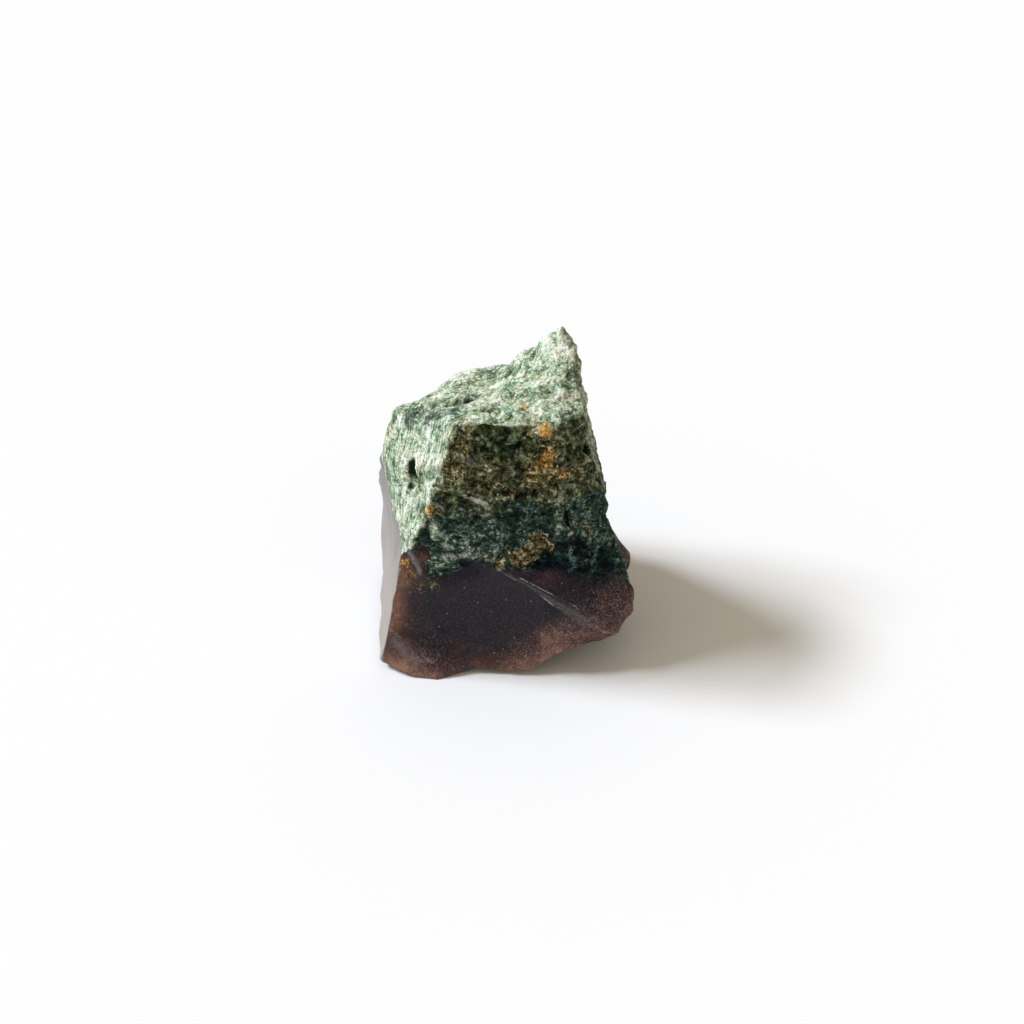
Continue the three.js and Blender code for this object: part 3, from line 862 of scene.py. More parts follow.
# %% Attributes
MASKS = dict(
    crust=crust, pale=pale, olive=olive, moss=moss, deep=deep, dull=dull, salt=salt,
    shade=shade, fleck=fleck, cheek=cheek, crown=crown, relief=relief, hollow=hollow,
    stain=stain, amber=amber,
    glow=glow, rough=rough, painted_sheen=painted_sheen, wear=wear, bevel=bevel, matt=matt,
)
for name, values in MASKS.items():
    layer = lump.data.attributes.new(name, "FLOAT", "POINT")
    layer.data.foreach_set("value", values.astype(np.float32))
print("masks:", ", ".join(MASKS))

# %% [markdown]
# ## Short ways to write shader nodes
# A node tree is easier to read as a list of steps than as a picture of wires. Each helper
# adds a node or a few, wires what it is given, and hands back the output. These ones do
# sums and mixes. A Mix node has a pair of sockets for each kind of value: 2 and 3 take
# numbers, and 6 and 7 take colours.

# %% Node helpers
HALF = 0.5


def feed(tree, made, inputs):
    """Sets a node's inputs, or wires them where the value is another node's output."""
    for name, value in inputs.items():
        if isinstance(value, bpy.types.NodeSocket):
            tree.links.new(value, made.inputs[name])
        else:
            made.inputs[name].default_value = value
    return made


def add(tree, kind, inputs, **settings):
    """A node of that kind, set up and fed."""
    made = tree.nodes.new("ShaderNode" + kind)
    for name, value in settings.items():
        setattr(made, name, value)
    return feed(tree, made, inputs)


def maths(tree, operation, a, b, clamp=False):
    """One sum on two numbers."""
    made = add(tree, "Math", {0: a, 1: b}, operation=operation, use_clamp=clamp)
    return made.outputs[0]


def times(tree, a, b):
    """Two numbers multiplied."""
    return maths(tree, "MULTIPLY", a, b)


def weigh(tree, base, parts):
    """The base plus each part's weight times how far it is above a half."""
    total = base
    for value, weight in parts:
        inputs = {0: value, 1: weight, 2: -HALF * weight}
        weighed = add(tree, "Math", inputs, operation="MULTIPLY_ADD").outputs[0]
        total = maths(tree, "ADD", total, weighed)
    return total


def plus(tree, base, parts):
    """The base plus each part's weight times the part itself."""
    total = base
    for value, weight in parts:
        total = maths(tree, "ADD", total, times(tree, value, weight))
    return total


def mix(tree, share, a, b):
    """Colour a where share is 0 and colour b where it is 1."""
    made = add(tree, "Mix", {0: share, 6: a, 7: b}, data_type="RGBA", clamp_factor=True)
    return made.outputs[2]


def blend_numbers(tree, share, a, b):
    """Number a where share is 0 and number b where it is 1."""
    made = add(tree, "Mix", {0: share, 2: a, 3: b}, data_type="FLOAT", clamp_factor=True)
    return made.outputs[0]


def vectors(tree, operation, a, b):
    """One sum on two vectors that gives a vector."""
    return add(tree, "VectorMath", {0: a, 1: b}, operation=operation).outputs[0]


def measure(tree, operation, a, b):
    """One sum on two vectors that gives a number."""
    return add(tree, "VectorMath", {0: a, 1: b}, operation=operation).outputs["Value"]


def scaled(tree, vector, factor):
    """A vector made so many times as long."""
    return add(tree, "VectorMath", {0: vector, "Scale": factor}, operation="SCALE").outputs[0]


print("helpers ready for numbers, colours and vectors")

# %% [markdown]
# ## Short ways to write patterns and groups
# These helpers make what the surfaces are built from: soft noise, a run of colours, a
# soft step, round specks, and places squeezed along a direction. Below, a noise is kept as
# its lumps to the millimetre, its detail and its roughness, and a step as where it starts
# and where it is full. The last helpers read a mask, start a group and place one.

# %% Pattern helpers
SPECK_CORE = 0.4


def noise_map(tree, vector, per_mm, detail, roughness=0.6):
    """Soft noise from 0 to 1 with so many lumps to the millimetre."""
    inputs = {"Vector": vector, "Scale": per_mm, "Detail": detail, "Roughness": roughness}
    return add(tree, "TexNoise", inputs).outputs[0]


def noise_vector(tree, vector, per_mm, reach):
    """A small shift in a direction of its own at each spot, up to half the reach."""
    colour = add(tree, "TexNoise", {"Vector": vector, "Scale": per_mm}).outputs["Color"]
    return scaled(tree, vectors(tree, "SUBTRACT", colour, (HALF,) * 3), reach)


def ramp(tree, share, stops):
    """A colour that runs through the stops, each a place from 0 to 1 and a colour."""
    made = add(tree, "ValToRGB", {0: share})
    band = made.color_ramp
    while len(band.elements) < len(stops):
        band.elements.new(HALF)
    for element, (place_on_band, colour) in zip(band.elements, stops):
        element.position = place_on_band
        element.color = (*colour, 1)
    return made.outputs[0]


def step_up(tree, value, start, end):
    """0 up to start, 1 from end, and a smooth rise between; start may be above end."""
    inputs = {"Value": value, "From Min": start, "From Max": end}
    return add(tree, "MapRange", inputs, interpolation_type="SMOOTHSTEP").outputs[0]


def specks(tree, vector, per_mm, size):
    """1 on small round specks, so many to the millimetre, and 0 between them."""
    inputs = {"Vector": vector, "Scale": per_mm}
    away = add(tree, "TexVoronoi", inputs).outputs["Distance"]
    return step_up(tree, away, size, SPECK_CORE * size)


def drawn_out(tree, vector, direction, draw):
    """The place squeezed along a direction, so that noise there is drawn out."""
    along = Vector(direction).normalized()
    cut = times(tree, measure(tree, "DOT_PRODUCT", vector, along), 1 - 1 / draw)
    return vectors(tree, "SUBTRACT", vector, scaled(tree, along, cut))


def mask(tree, name):
    """One of the masks kept on the mesh."""
    return add(tree, "Attribute", {}, attribute_name=name).outputs["Fac"]


def new_group(name, inputs, outputs):
    """An empty node group with named number, vector or colour sockets."""
    tree = bpy.data.node_groups.new(name, "ShaderNodeTree")
    for direction, sockets in (("INPUT", inputs), ("OUTPUT", outputs)):
        for label, kind in sockets.items():
            tree.interface.new_socket(label, in_out=direction, socket_type="NodeSocket" + kind)
    return tree, tree.nodes.new("NodeGroupInput").outputs, tree.nodes.new("NodeGroupOutput")


def place(tree, group, inputs):
    """A group put into a tree and fed."""
    return add(tree, "Group", inputs, node_tree=group).outputs


print("helpers ready for patterns and groups")

# %% [markdown]
# ## Iron stain, as a group
# Iron colours the crust and the chalcedony alike, so it is a group that is laid over both.
# It puts out how much of the stain shows and its colour, which is dark in the gaps and
# light on the grains, amber where the rust is pure and earthy where it is thin. The grains
# are the crust's own, and noise breaks the soft spots of the mask into ragged patches.

# %% Stain group
EARTH_STOPS = [
    (0.05, (0.014, 0.011, 0.005)),
    (0.35, (0.085, 0.066, 0.024)),
    (0.60, (0.220, 0.180, 0.075)),
    (0.80, (0.450, 0.400, 0.220)),
    (0.97, (0.780, 0.740, 0.580)),
]
AMBER_STOPS = [
    (0.05, (0.045, 0.018, 0.004)),
    (0.35, (0.230, 0.105, 0.018)),
    (0.65, (0.560, 0.290, 0.060)),
    (0.95, (0.850, 0.620, 0.280)),
]
GRAINS = (2.6, 4, 0.75)
STAIN_PATCHES = (1.3, 4, 0.65)
STAIN_BLOTCHES = (2.0, 3)
STAIN_LEVEL = 0.42
RAGGED_SHARE = (0.26, 0.96)
STAIN_EDGE = (0.04, 0.40)
RUSTY = (0.20, 0.70)


def stain_group():
    """Colour and share of the iron stain."""
    tree, given, result = new_group(
        "iron stain",
        {"Point": "Vector", "Strength": "Float", "Amber": "Float", "Level": "Float"},
        {"Colour": "Color", "Share": "Float"},
    )
    grains = noise_map(tree, given["Point"], *GRAINS)
    patches = noise_map(tree, given["Point"], *STAIN_PATCHES)
    blotches = noise_map(tree, given["Point"], *STAIN_BLOTCHES)
    level = weigh(tree, STAIN_LEVEL, [(given["Level"], 0.85), (blotches, 1.0)])
    ragged = weigh(tree, HALF, [(given["Strength"], 1.0), (patches, 1.9), (grains, 1.8)])
    ragged = step_up(tree, ragged, *RAGGED_SHARE)
    share = times(tree, ragged, step_up(tree, given["Strength"], *STAIN_EDGE))
    earth = ramp(tree, level, EARTH_STOPS)
    amber = ramp(tree, level, AMBER_STOPS)
    rusty = weigh(tree, HALF, [(given["Amber"], 1.0), (patches, 0.8)])
    colour = mix(tree, step_up(tree, rusty, *RUSTY), earth, amber)
    feed(tree, result, {"Colour": colour, "Share": share})
    return tree


stain_nodes = stain_group()
print("stain group:", len(stain_nodes.nodes), "nodes")

# %% [markdown]
# ## Colours of the crust
# The crust is a mat of small crystals: white ones, green ones and dark gaps. One number,
# the level, says where a spot lies between gap and white crystal, and a ramp turns it into
# a colour. There is one ramp for each kind of crust: cool and warm pale, dull, green, deep
# blue-green, olive and moss-green.

# %% Crust colours
GREEN_STOPS = [
    (0.05, (0.002, 0.005, 0.004)),
    (0.35, (0.011, 0.028, 0.022)),
    (0.60, (0.042, 0.078, 0.058)),
    (0.80, (0.140, 0.180, 0.135)),
    (0.97, (0.460, 0.500, 0.420)),
]
DEEP_STOPS = [
    (0.10, (0.0005, 0.0015, 0.0022)),
    (0.45, (0.0045, 0.0100, 0.0120)),
    (0.70, (0.0180, 0.0380, 0.0380)),
    (0.95, (0.1000, 0.1700, 0.1550)),
]
OLIVE_STOPS = [
    (0.05, (0.0045, 0.0060, 0.0030)),
    (0.30, (0.0280, 0.0320, 0.0140)),
    (0.55, (0.0960, 0.1060, 0.0520)),
    (0.75, (0.2150, 0.2200, 0.1280)),
    (0.95, (0.5200, 0.5200, 0.3800)),
]
MOSS_STOPS = [
    (0.05, (0.0040, 0.0070, 0.0030)),
    (0.30, (0.0260, 0.0390, 0.0150)),
    (0.55, (0.0760, 0.1060, 0.0460)),
    (0.75, (0.1600, 0.2000, 0.1050)),
    (0.95, (0.4000, 0.4500, 0.3100)),
]
PALE_COOL_STOPS = [
    (0.00, (0.022, 0.058, 0.034)),
    (0.22, (0.115, 0.210, 0.125)),
    (0.45, (0.320, 0.450, 0.300)),
    (0.68, (0.610, 0.700, 0.550)),
    (0.90, (0.930, 0.950, 0.880)),
]
PALE_WARM_STOPS = [
    (0.00, (0.050, 0.060, 0.028)),
    (0.22, (0.190, 0.230, 0.125)),
    (0.45, (0.430, 0.480, 0.310)),
    (0.68, (0.690, 0.710, 0.540)),
    (0.90, (0.950, 0.940, 0.840)),
]
DULL_STOPS = [
    (0.00, (0.017, 0.031, 0.020)),
    (0.32, (0.077, 0.113, 0.077)),
    (0.62, (0.228, 0.280, 0.206)),
    (0.93, (0.670, 0.710, 0.595)),
]
# Painted shade: the dark moss-green that the pits are darkened to.
PIT_SHADE_COLOUR = (0.008, 0.024, 0.013, 1)

print("pale crust runs through", len(PALE_COOL_STOPS), "colours")

# %% [markdown]
# ## Crystals and gaps
# The level is made of noise of several sizes, of a shade for each crystal and of the
# relief. On the cheek the crystals are drawn out into upright needles, and on the crown
# the grain is smeared along its streaks.

# %% Crust level
CRYSTALS_PER_MM, NEEDLES_PER_MM = 3.4, 4.2
CRYSTAL_BEND = (2.0, 0.35)
NEEDLE_DRAW, SMEAR_DRAW = 6, 3
SMEARS = (3.2, 4, 0.7)
WHITE_SPOTS = (8.0, 2, 0.8)
BROAD_PATCHES = (0.55, 3)
CROWN_SMEARED = 0.5
CRUST_LEVEL = 0.63
SALT_LIFT, FLECK_LIFT = 0.30, 0.50
# SHADE_DROP darkens the level with the painted shadow of the shade patches.
GAP_DROP, SHADE_DROP = -0.35, -0.28
GAP_DEPTH = -0.5


def crystals(tree, vector, per_mm):
    """A shade for each crystal, and how far each spot is from its crystal's middle."""
    made = add(tree, "TexVoronoi", {"Vector": vector, "Scale": per_mm})
    return made.outputs["Color"], made.outputs["Distance"]


def crust_texture(tree, given):
    """The grain of the crust, a shade for each crystal, and how far out in it a spot is."""
    point = given["Point"]
    bent = vectors(tree, "ADD", point, noise_vector(tree, point, *CRYSTAL_BEND))
    shade, out = crystals(tree, bent, CRYSTALS_PER_MM)
    needle_place = drawn_out(tree, bent, FIBRE_RUN, NEEDLE_DRAW)
    needle_shade, needle_out = crystals(tree, needle_place, NEEDLES_PER_MM)
    shade = blend_numbers(tree, given["Cheek"], shade, needle_shade)
    out = blend_numbers(tree, given["Cheek"], out, needle_out)
    grains = noise_map(tree, point, *GRAINS)
    smears = noise_map(tree, drawn_out(tree, point, STREAK_RUN, SMEAR_DRAW), *SMEARS)
    smeared = times(tree, given["Crown"], CROWN_SMEARED)
    return blend_numbers(tree, smeared, grains, smears), shade, out


def crust_level(tree, given):
    """How far each spot is from a gap, at 0, to a white crystal, at 1, and its height."""
    texture, shade, out = crust_texture(tree, given)
    level = weigh(tree, CRUST_LEVEL, [
        (texture, 1.8),
        (shade, 0.55),
        (noise_map(tree, given["Point"], *WHITE_SPOTS), 1.6),
        (noise_map(tree, given["Point"], *BROAD_PATCHES), 1.4),
        (given["Relief"], 0.25),
    ])
    level = plus(tree, level, [
        (out, GAP_DROP),
        (given["Salt"], SALT_LIFT),
        (given["Fleck"], FLECK_LIFT),
        (given["Shade"], SHADE_DROP),
    ])
    return level, plus(tree, texture, [(out, GAP_DEPTH)])


print("largest crystals:", round(1 / CRYSTALS_PER_MM, 2), "mm")

# %% [markdown]
# ## Kinds of crust
# Each kind takes the level and turns it into its own colours. The olive and green kinds
# are softer, with blotches and layers that the pale ones don't have.

# %% Kinds of crust
SOFT_LEVEL, LAYER_LEVEL = 0.43, 0.40
# SHADE_DARKER darkens the softer olive level with the same painted shadow.
SHADE_DARKER = -0.2
OLIVE_SOFT, GREEN_LAYERED = 0.68, 0.4
MOSS_STEP = (0.10, 0.70)
LAYERS = (1.6, 4, 0.7)
LAYER_RUN = (1.0, 0.0, -0.2)
LAYER_DRAW = 2.5
DEEP_STEP = (0.25, 0.75)
CHEEK_COOLER = -0.05
WARM_STEP = (0.40, 0.60)
DULL_STEP = (0.35, 0.95)


def earthy_crust(tree, given, level, hue, blotches):
    """The colour of the olive crust, with its mossy patches."""
    soft = weigh(tree, SOFT_LEVEL, [(blotches, 3.0), (level, 0.35)])
    soft = plus(tree, soft, [(given["Shade"], SHADE_DARKER)])
    olive = ramp(tree, blend_numbers(tree, OLIVE_SOFT, level, soft), OLIVE_STOPS)
    mossy = weigh(tree, HALF, [(given["Moss"], 1.4), (blotches, 1.4), (hue, 1.2)])
    return mix(tree, step_up(tree, mossy, *MOSS_STEP), olive, ramp(tree, soft, MOSS_STOPS))


def green_crust(tree, given, level, hue, blotches):
    """The colour of the dark green crust, layered, with its deep blue-green patches."""
    layers = noise_map(tree, drawn_out(tree, given["Point"], LAYER_RUN, LAYER_DRAW), *LAYERS)
    layered = weigh(tree, LAYER_LEVEL, [(layers, 3.0), (level, 0.4)])
    green = ramp(tree, blend_numbers(tree, GREEN_LAYERED, level, layered), GREEN_STOPS)
    deep_level = weigh(tree, LAYER_LEVEL, [(layers, 2.2), (blotches, 1.6), (level, 0.35)])
    deep = weigh(tree, HALF, [(given["Deep"], 1.0), (hue, 1.0), (layers, 0.8)])
    return mix(tree, step_up(tree, deep, *DEEP_STEP), green, ramp(tree, deep_level, DEEP_STOPS))


def pale_crust(tree, given, level, hue, blotches):
    """The colour of the weathered crust, with its dull patches."""
    warmth = plus(tree, hue, [(given["Cheek"], CHEEK_COOLER)])
    cool = ramp(tree, level, PALE_COOL_STOPS)
    warm = ramp(tree, level, PALE_WARM_STOPS)
    light = mix(tree, step_up(tree, warmth, *WARM_STEP), cool, warm)
    dull = weigh(tree, HALF, [(given["Dull"], 1.0), (hue, 1.8), (blotches, 1.2)])
    return mix(tree, step_up(tree, dull, *DULL_STEP), light, ramp(tree, level, DULL_STOPS))


print("kinds of crust: pale, green and earthy")

# %% [markdown]
# ## Granular crust, as a group
# The group picks the kind of crust by the masks, with noise in the borders, and darkens the
# pits with painted shade. It puts out the level too, because a stain is lighter on the grains
# than in the gaps.

# %% Crust group
CRUST_MASKS = [
    "Pale", "Olive", "Moss", "Deep", "Dull", "Salt",
    "Shade", "Fleck", "Cheek", "Crown", "Relief", "Hollow",
]
HUES = (0.9, 4)
BLOTCHES = (1.5, 4, 0.65)
# In the painted shadow the crust is shifted from olive towards green.
SHADE_GREENER = -0.35
OLIVE_STEP = (0.25, 0.75)
PIT_SHADE_STEP = (0.22, 0.52)


def crust_group():
    """Colour, height and level of the crust from its masks."""
    tree, given, result = new_group(
        "granular crust",
        {"Point": "Vector", **{name: "Float" for name in CRUST_MASKS}},
        {"Colour": "Color", "Height": "Float", "Level": "Float"},
    )
    level, height = crust_level(tree, given)
    hue = noise_map(tree, given["Point"], *HUES)
    blotches = noise_map(tree, given["Point"], *BLOTCHES)
    olive = weigh(tree, HALF, [(given["Olive"], 1.0), (hue, 2.2)])
    olive = plus(tree, olive, [(given["Shade"], SHADE_GREENER)])
    green = green_crust(tree, given, level, hue, blotches)
    earthy = earthy_crust(tree, given, level, hue, blotches)
    dark = mix(tree, step_up(tree, olive, *OLIVE_STEP), green, earthy)
    light = pale_crust(tree, given, level, hue, blotches)
    colour = mix(tree, given["Pale"], dark, light)
    # Painted shade: the pits are darkened by the hollow mask.
    pit = weigh(tree, HALF, [(given["Hollow"], 1.0), (blotches, 0.7)])
    colour = mix(tree, step_up(tree, pit, *PIT_SHADE_STEP), colour, PIT_SHADE_COLOUR)
    feed(tree, result, {"Colour": colour, "Height": height, "Level": level})
    return tree


crust_nodes = crust_group()
print("crust group:", len(crust_nodes.nodes), "nodes")

# %% [markdown]
# ## Painted sheen and dust
# A painted sheen, the reflection of the bright room, lies over the chalcedony's left side as
# a pale grey veil, lighter towards the floor. A few pale specks of dust sit on the smooth
# part, and many more on the rough part.

# %% Sheen and dust
SHEEN_HIGH = (0.223, 0.210, 0.196, 1)
SHEEN_LOW = (0.335, 0.294, 0.262, 1)
DUST = (0.36, 0.33, 0.32, 1)
UPRIGHT = (0, 0, 1)
STRIPES = (1.6, 3)
STRIPE_DRAW = 12
VEIL_RUN = (2.0, 18.0)
SAND = (5.5, 3, 0.85)
SAND_STEP = (0.50, 0.66)
MOTTLE_STEP = (0.30, 0.60)
GRIT_WHERE_SMOOTH, GRIT_WHERE_ROUGH = 0.16, 0.92
SPECKS_PER_MM, SPECK_SIZE, SPECK_SHARE = 0.9, 0.10, 0.7
CHIP_STEP = (0.48, 0.62)
CHIP_SHARE = 0.5
DUST_SHARE = 0.8


def with_sheen(tree, given, colour, fine):
    """The colour under a painted sheen, the reflection of the bright room, lighter and warmer
    lower down.
    """
    up = add(tree, "SeparateXYZ", {0: given["Point"]}).outputs["Z"]
    veil = mix(tree, step_up(tree, up, *VEIL_RUN), SHEEN_LOW, SHEEN_HIGH)
    stripes = noise_map(tree, drawn_out(tree, given["Point"], UPRIGHT, STRIPE_DRAW), *STRIPES)
    painted_sheen = weigh(tree, 1.0, [(stripes, 0.6), (fine, 0.3)])
    return mix(tree, times(tree, painted_sheen, given["Painted_sheen"]), colour, veil)


def dusted(tree, given, colour, fine, mottles):
    """The colour with pale grit, a few round specks, and chips along its ridges."""
    gritty = times(tree, given["Rough"], step_up(tree, mottles, *MOTTLE_STEP))
    amount = blend_numbers(tree, gritty, GRIT_WHERE_SMOOTH, GRIT_WHERE_ROUGH)
    sand = step_up(tree, noise_map(tree, given["Point"], *SAND), *SAND_STEP)
    round_specks = specks(tree, given["Point"], SPECKS_PER_MM, SPECK_SIZE)
    chips = times(tree, given["Wear"], step_up(tree, fine, *CHIP_STEP))
    light = times(tree, sand, amount)
    for marks, share in ((round_specks, SPECK_SHARE), (chips, CHIP_SHARE)):
        light = maths(tree, "MAXIMUM", light, times(tree, marks, share))
    return mix(tree, times(tree, light, DUST_SHARE), colour, DUST)


print("round specks of dust:", SPECKS_PER_MM, "to the mm")

# %% [markdown]
# ## Waxy chalcedony, as a group
# The chalcedony is an even, almost black violet. Where it is thin, the light that comes
# through is painted into its colour as wine-red to brown. The bevel is grey with scuffs. The
# painted sheen and dust lie over them both.

# %% Chalcedony group
WAXY_MASKS = ["Glow", "Rough", "Painted_sheen", "Wear", "Bevel"]
# Painted light through the stone: the ramp runs from almost black where the chalcedony is thick
# to red-brown where its thin edges let light through; some of the warmth is iron.
GLOW_STOPS = [
    (0.00, (0.0100, 0.0090, 0.0160)),
    (0.22, (0.0200, 0.0120, 0.0175)),
    (0.45, (0.0620, 0.0280, 0.0260)),
    (0.70, (0.1700, 0.0840, 0.0620)),
    (1.00, (0.3200, 0.1750, 0.1100)),
]
BEVEL_GREY = (0.092, 0.083, 0.080, 1)
CLOUDS = (0.45, 4)
MOTTLES = (1.3, 4, 0.7)
FINE = (4.0, 3, 0.75)
GLOW_LEVEL = -0.02
SCUFFS = (5.0, 3, 0.8)
SCUFF_STEP = (0.36, 0.58)


def chalcedony_group():
    """Colour and height of the chalcedony from its masks."""
    tree, given, result = new_group(
        "waxy chalcedony",
        {"Point": "Vector", **{name: "Float" for name in WAXY_MASKS}},
        {"Colour": "Color", "Height": "Float"},
    )
    clouds = noise_map(tree, given["Point"], *CLOUDS)
    mottles = noise_map(tree, given["Point"], *MOTTLES)
    fine = noise_map(tree, given["Point"], *FINE)
    glow = weigh(tree, GLOW_LEVEL, [(clouds, 0.55), (mottles, 0.5), (fine, 0.6)])
    colour = ramp(tree, maths(tree, "ADD", glow, given["Glow"]), GLOW_STOPS)
    scuffs = step_up(tree, noise_map(tree, given["Point"], *SCUFFS), *SCUFF_STEP)
    colour = mix(tree, times(tree, given["Bevel"], scuffs), colour, BEVEL_GREY)
    # The painted sheen of the glossy left side.
    colour = with_sheen(tree, given, colour, fine)
    colour = dusted(tree, given, colour, fine, mottles)
    feed(tree, result, {"Colour": colour, "Height": fine})
    return tree


chalcedony_nodes = chalcedony_group()
print("chalcedony group:", len(chalcedony_nodes.nodes), "nodes")

# %% [markdown]
# ## Lines, as a group
# Where the breaks of the chalcedony meet, the edge is bruised to a thin light line. Flakes,
# cracks and streaks are short lines too. A line is a straight stretch between two places,
# and every spot closer than its reach is on it.

# %% Line group
LINE_SIDES = (1.0, 0.3)


def line_group():
    """1 on a straight line between two places, and 0 further off than its reach."""
    tree, given, result = new_group(
        "line mark",
        {"Point": "Vector", "Start": "Vector", "End": "Vector", "Reach": "Float"},
        {"Mask": "Float"},
    )
    along = vectors(tree, "SUBTRACT", given["End"], given["Start"])
    offset = vectors(tree, "SUBTRACT", given["Point"], given["Start"])
    run = measure(tree, "DOT_PRODUCT", offset, along)
    length_squared = measure(tree, "DOT_PRODUCT", along, along)
    share = maths(tree, "DIVIDE", run, length_squared, clamp=True)
    away = measure(tree, "DISTANCE", offset, scaled(tree, along, share))
    near = maths(tree, "DIVIDE", away, given["Reach"])
    feed(tree, result, {"Mask": step_up(tree, near, *LINE_SIDES)})
    return tree


line_nodes = line_group()
print("line group:", len(line_nodes.nodes), "nodes")

# %% [markdown]
# ## Bruises, flakes, chips and cracks
# A bruised edge shows as a thin pale line, with gaps where the edge is still sound. Flakes,
# chips and teal streaks are broader and ragged, and a crack is a dark line. They are kept
# in sets, because each set has one colour and one kind of raggedness.

# %% Lines of the stone
BRUISE_COLOUR = (0.42, 0.40, 0.38, 1)
BRUISES = [
    # start and end in mm, reach in mm, strength
    ((-6.3, -9.8, 13.8), (-2.4, -10.1, 14.1), 0.30, 0.9),
    ((-2.4, -10.1, 14.1), (-0.4, -10.7, 13.2), 0.18, 0.8),
    ((-0.4, -10.7, 13.2), (2.0, -11.0, 11.7), 0.12, 0.7),
    ((2.0, -11.0, 11.7), (7.2, -11.6, 8.8), 0.11, 0.7),
    ((7.2, -11.6, 8.8), (10.3, -11.5, 5.2), 0.11, 0.5),
    ((-0.6, -10.8, 12.9), (1.1, -10.8, 11.5), 0.10, 0.8),
    ((2.6, -10.8, 10.4), (5.0, -11.0, 8.5), 0.10, 0.9),
    ((-11.9, -10.7, 5.1), (-7.5, -12.0, 1.6), 0.13, 0.35),
    # The next line is a painted highlight along the lit top edge of the ledge.
    ((5.9, -9.2, 23.9), (8.3, -8.6, 23.7), 0.18, 0.7),
    ((-6.0, -9.9, 12.6), (-4.6, -10.0, 12.9), 0.09, 0.5),
    ((-5.4, -9.9, 12.0), (-3.6, -10.2, 12.4), 0.08, 0.4),
    ((-4.6, -10.0, 11.6), (-2.4, -10.3, 12.5), 0.08, 0.3),
]
FLAKE_COLOUR = (0.60, 0.60, 0.53, 1)
FLAKES = [
    ((-3.7, -9.1, 20.5), (-2.6, -9.3, 20.3), 0.24, 0.9),
    ((-2.8, -9.3, 20.3), (-1.8, -9.5, 20.1), 0.36, 1.0),
    ((4.5, -9.9, 20.7), (5.0, -9.8, 20.6), 0.24, 0.9),
    ((5.0, -9.8, 20.7), (5.7, -9.7, 20.8), 0.34, 0.9),
    ((-0.6, -9.7, 21.3), (-0.1, -9.9, 20.8), 0.16, 0.6),
    ((-0.1, -9.9, 20.8), (0.7, -9.8, 21.2), 0.16, 0.7),
    ((4.2, -10.1, 27.0), (4.6, -10.2, 27.2), 0.22, 0.9),
    ((4.6, -10.2, 25.5), (4.9, -10.2, 25.7), 0.18, 0.8),
    ((6.4, -10.6, 17.0), (6.9, -10.5, 17.3), 0.30, 0.7),
]
CHIP_COLOUR = (0.190, 0.172, 0.174, 1)
CHIPS = [
    ((-9.9, -8.9, 15.2), (-9.5, -9.5, 14.2), 0.34, 0.9),
    ((-9.5, -9.6, 14.0), (-8.9, -9.9, 12.9), 0.46, 0.9),
    ((-8.9, -9.9, 12.9), (-8.5, -10.1, 11.9), 0.36, 0.9),
    ((-3.6, -9.0, 25.0), (-3.0, -9.1, 24.5), 0.55, 0.45),
    ((-11.3, -11.2, 3.6), (-9.2, -12.0, 1.8), 0.95, 0.40),
]
TEAL_COLOUR = (0.140, 0.250, 0.215, 1)
TEAL_STREAKS = [
    ((6.8, -10.4, 15.3), (6.6, -10.5, 14.4), 0.34, 0.9),
    ((6.6, -10.5, 14.4), (7.1, -10.5, 13.4), 0.36, 0.9),
    ((7.1, -10.5, 13.4), (6.6, -10.6, 12.6), 0.32, 0.6),
    ((9.6, -9.4, 14.6), (8.9, -9.9, 13.0), 0.36, 0.7),
]
CRACK_COLOUR = (0.006, 0.006, 0.007, 1)
CRACKS = [
    ((5.7, -9.6, 20.1), (6.1, -9.3, 18.8), 0.26, 1.0),
    ((6.1, -9.3, 18.8), (6.4, -10.1, 17.7), 0.40, 1.0),
    ((0.0, -9.6, 21.5), (0.3, -9.6, 21.4), 0.32, 0.9),
]
LINE_SETS = [
    # colour, how much the gaps in a line show, how ragged its sides are, the lines
    (TEAL_COLOUR, 0.9, 1.5, TEAL_STREAKS),
    (BRUISE_COLOUR, 1.0, 0.0, BRUISES),
    (FLAKE_COLOUR, 0.65, 1.2, FLAKES),
    (CHIP_COLOUR, 0.5, 0.9, CHIPS),
    (CRACK_COLOUR, 0.0, 0.6, CRACKS),
]


print("lines:", sum(len(lines) for *_, lines in LINE_SETS))

# %% [markdown]
# ## Laying the lines over the stone
# A real line is neither straight nor whole. So the place is moved a little by noise before
# it is measured against a line, which makes the line wander and tears its sides, and more
# noise opens gaps in it.

# %% Laying the lines
LINE_WANDER = 0.16
LINE_WANDERS = (1.2, 3)
RAGGED = 0.45
TEARS_PER_MM = 3.0
LINE_GAPS = (3.5, 3, 0.8)
LINE_GAP_STEP = (0.40, 0.55)


def wandering(tree, point):
    """The place moved a little up or down, so that straight lines wander."""
    wander = scaled(tree, (0, 0, LINE_WANDER), noise_map(tree, point, *LINE_WANDERS))
    moved = vectors(tree, "ADD", point, wander)
    return vectors(tree, "SUBTRACT", moved, (0, 0, LINE_WANDER / 2))


def line_share(tree, point, lines):
    """How strongly the lines show."""
    total = 0.0
    for start, end, reach, strength in lines:
        inputs = {"Point": point, "Start": start, "End": end, "Reach": reach}
        line = place(tree, line_nodes, inputs)["Mask"]
        total = maths(tree, "MAXIMUM", total, times(tree, line, strength))
    return total


def with_lines(tree, point, colour):
    """The colour with every set of lines laid over it."""
    moved = wandering(tree, point)
    kept = step_up(tree, noise_map(tree, point, *LINE_GAPS), *LINE_GAP_STEP)
    for line_colour, gaps, ragged, lines in LINE_SETS:
        whole = blend_numbers(tree, gaps, 1.0, kept)
        tear = noise_vector(tree, point, TEARS_PER_MM, RAGGED * ragged)
        torn = vectors(tree, "ADD", moved, tear)
        share = times(tree, line_share(tree, torn, lines), whole)
        colour = mix(tree, share, colour, line_colour)
    return colour


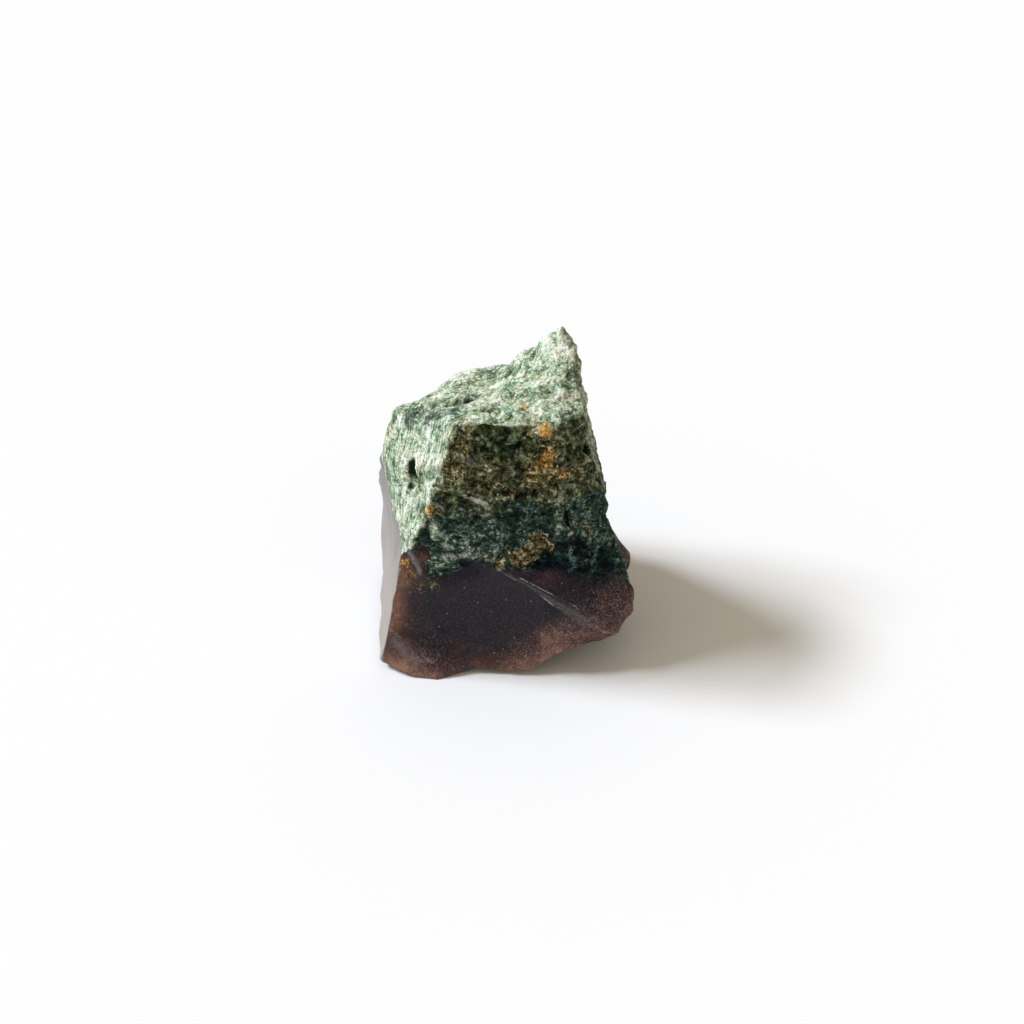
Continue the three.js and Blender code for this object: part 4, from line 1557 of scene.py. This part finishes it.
print("sets of lines:", len(LINE_SETS))

# %% [markdown]
# ## The stone's material
# The groups are placed in one material and mixed by the crust mask. The crust scatters
# light, and the chalcedony shines a little, so it has a thin coat and a lower roughness.
# The coat is left out where the chalcedony is matt, and it is weak where it is rough.

# %% Material
PER_METRE = 1 / MM
CRUST_GRAINS = (3.0, 3, 0.8)
CRUST_STEP = (0.30, 0.70)
BARE_DARKER = 0.14
CRUST_ROUGHNESS = 0.85
WAXY_ROUGHNESS = 0.50
REFRACTION = 1.54
SHINE = 0.06
WAXY_COAT = 0.22
COAT_ROUGHNESS = 0.28
ROUGH_DULLED = 0.7
CRUST_BUMP = 0.16
WAXY_BUMP = 0.006


def crust_share(tree, point):
    """How much of each spot is crust: the mask with its edge broken into grains."""
    grains = noise_map(tree, point, *CRUST_GRAINS)
    share = weigh(tree, HALF, [(mask(tree, "crust"), 1.0), (grains, 1.8)])
    return step_up(tree, share, *CRUST_STEP)


def stone_colour(tree, point, share, crust_parts, waxy_parts):
    """The colour of the whole stone, with its stains and lines."""
    colour = mix(tree, share, waxy_parts["Colour"], crust_parts["Colour"])
    bare_level = maths(tree, "SUBTRACT", crust_parts["Level"], BARE_DARKER)
    stains = place(tree, stain_nodes, {
        "Point": point, "Strength": mask(tree, "stain"), "Amber": mask(tree, "amber"),
        "Level": blend_numbers(tree, share, bare_level, crust_parts["Level"]),
    })
    colour = mix(tree, stains["Share"], colour, stains["Colour"])
    return with_lines(tree, point, colour)


def stone_material():
    """The material of the whole stone."""
    material = bpy.data.materials.new("bloodstone")
    material.use_nodes = True
    tree = material.node_tree
    shader = tree.nodes["Principled BSDF"]
    coordinates = add(tree, "TexCoord", {}).outputs["Object"]
    point = scaled(tree, coordinates, PER_METRE)
    crust_parts = place(tree, crust_nodes, {
        "Point": point, **{name: mask(tree, name.lower()) for name in CRUST_MASKS}
    })
    waxy_parts = place(tree, chalcedony_nodes, {
        "Point": point, **{name: mask(tree, name.lower()) for name in WAXY_MASKS}
    })
    share = crust_share(tree, point)
    bare = maths(tree, "SUBTRACT", 1.0, share)
    dulled = times(tree, mask(tree, "rough"), ROUGH_DULLED)
    glossy = maths(tree, "SUBTRACT", 1.0, maths(tree, "MAXIMUM", mask(tree, "matt"), dulled))
    coat = times(tree, times(tree, bare, glossy), WAXY_COAT)
    crust_rise = times(tree, crust_parts["Height"], CRUST_BUMP)
    waxy_rise = times(tree, waxy_parts["Height"], WAXY_BUMP)
    rise = blend_numbers(tree, share, waxy_rise, crust_rise)
    bump = add(tree, "Bump", {"Height": rise, "Distance": MM, "Strength": 1.0})
    feed(tree, shader, {
        "Base Color": stone_colour(tree, point, share, crust_parts, waxy_parts),
        "Roughness": blend_numbers(tree, share, WAXY_ROUGHNESS, CRUST_ROUGHNESS),
        "Coat Weight": coat,
        "Normal": bump.outputs["Normal"],
        "IOR": REFRACTION,
        "Specular IOR Level": SHINE,
        "Coat Roughness": COAT_ROUGHNESS,
    })
    return material


lump.data.materials.append(stone_material())
print("material:", lump.data.materials[0].name)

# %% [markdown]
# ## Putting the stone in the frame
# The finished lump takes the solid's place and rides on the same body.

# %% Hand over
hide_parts("stone")
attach(lump, "root")

bpy.context.view_layer.update()
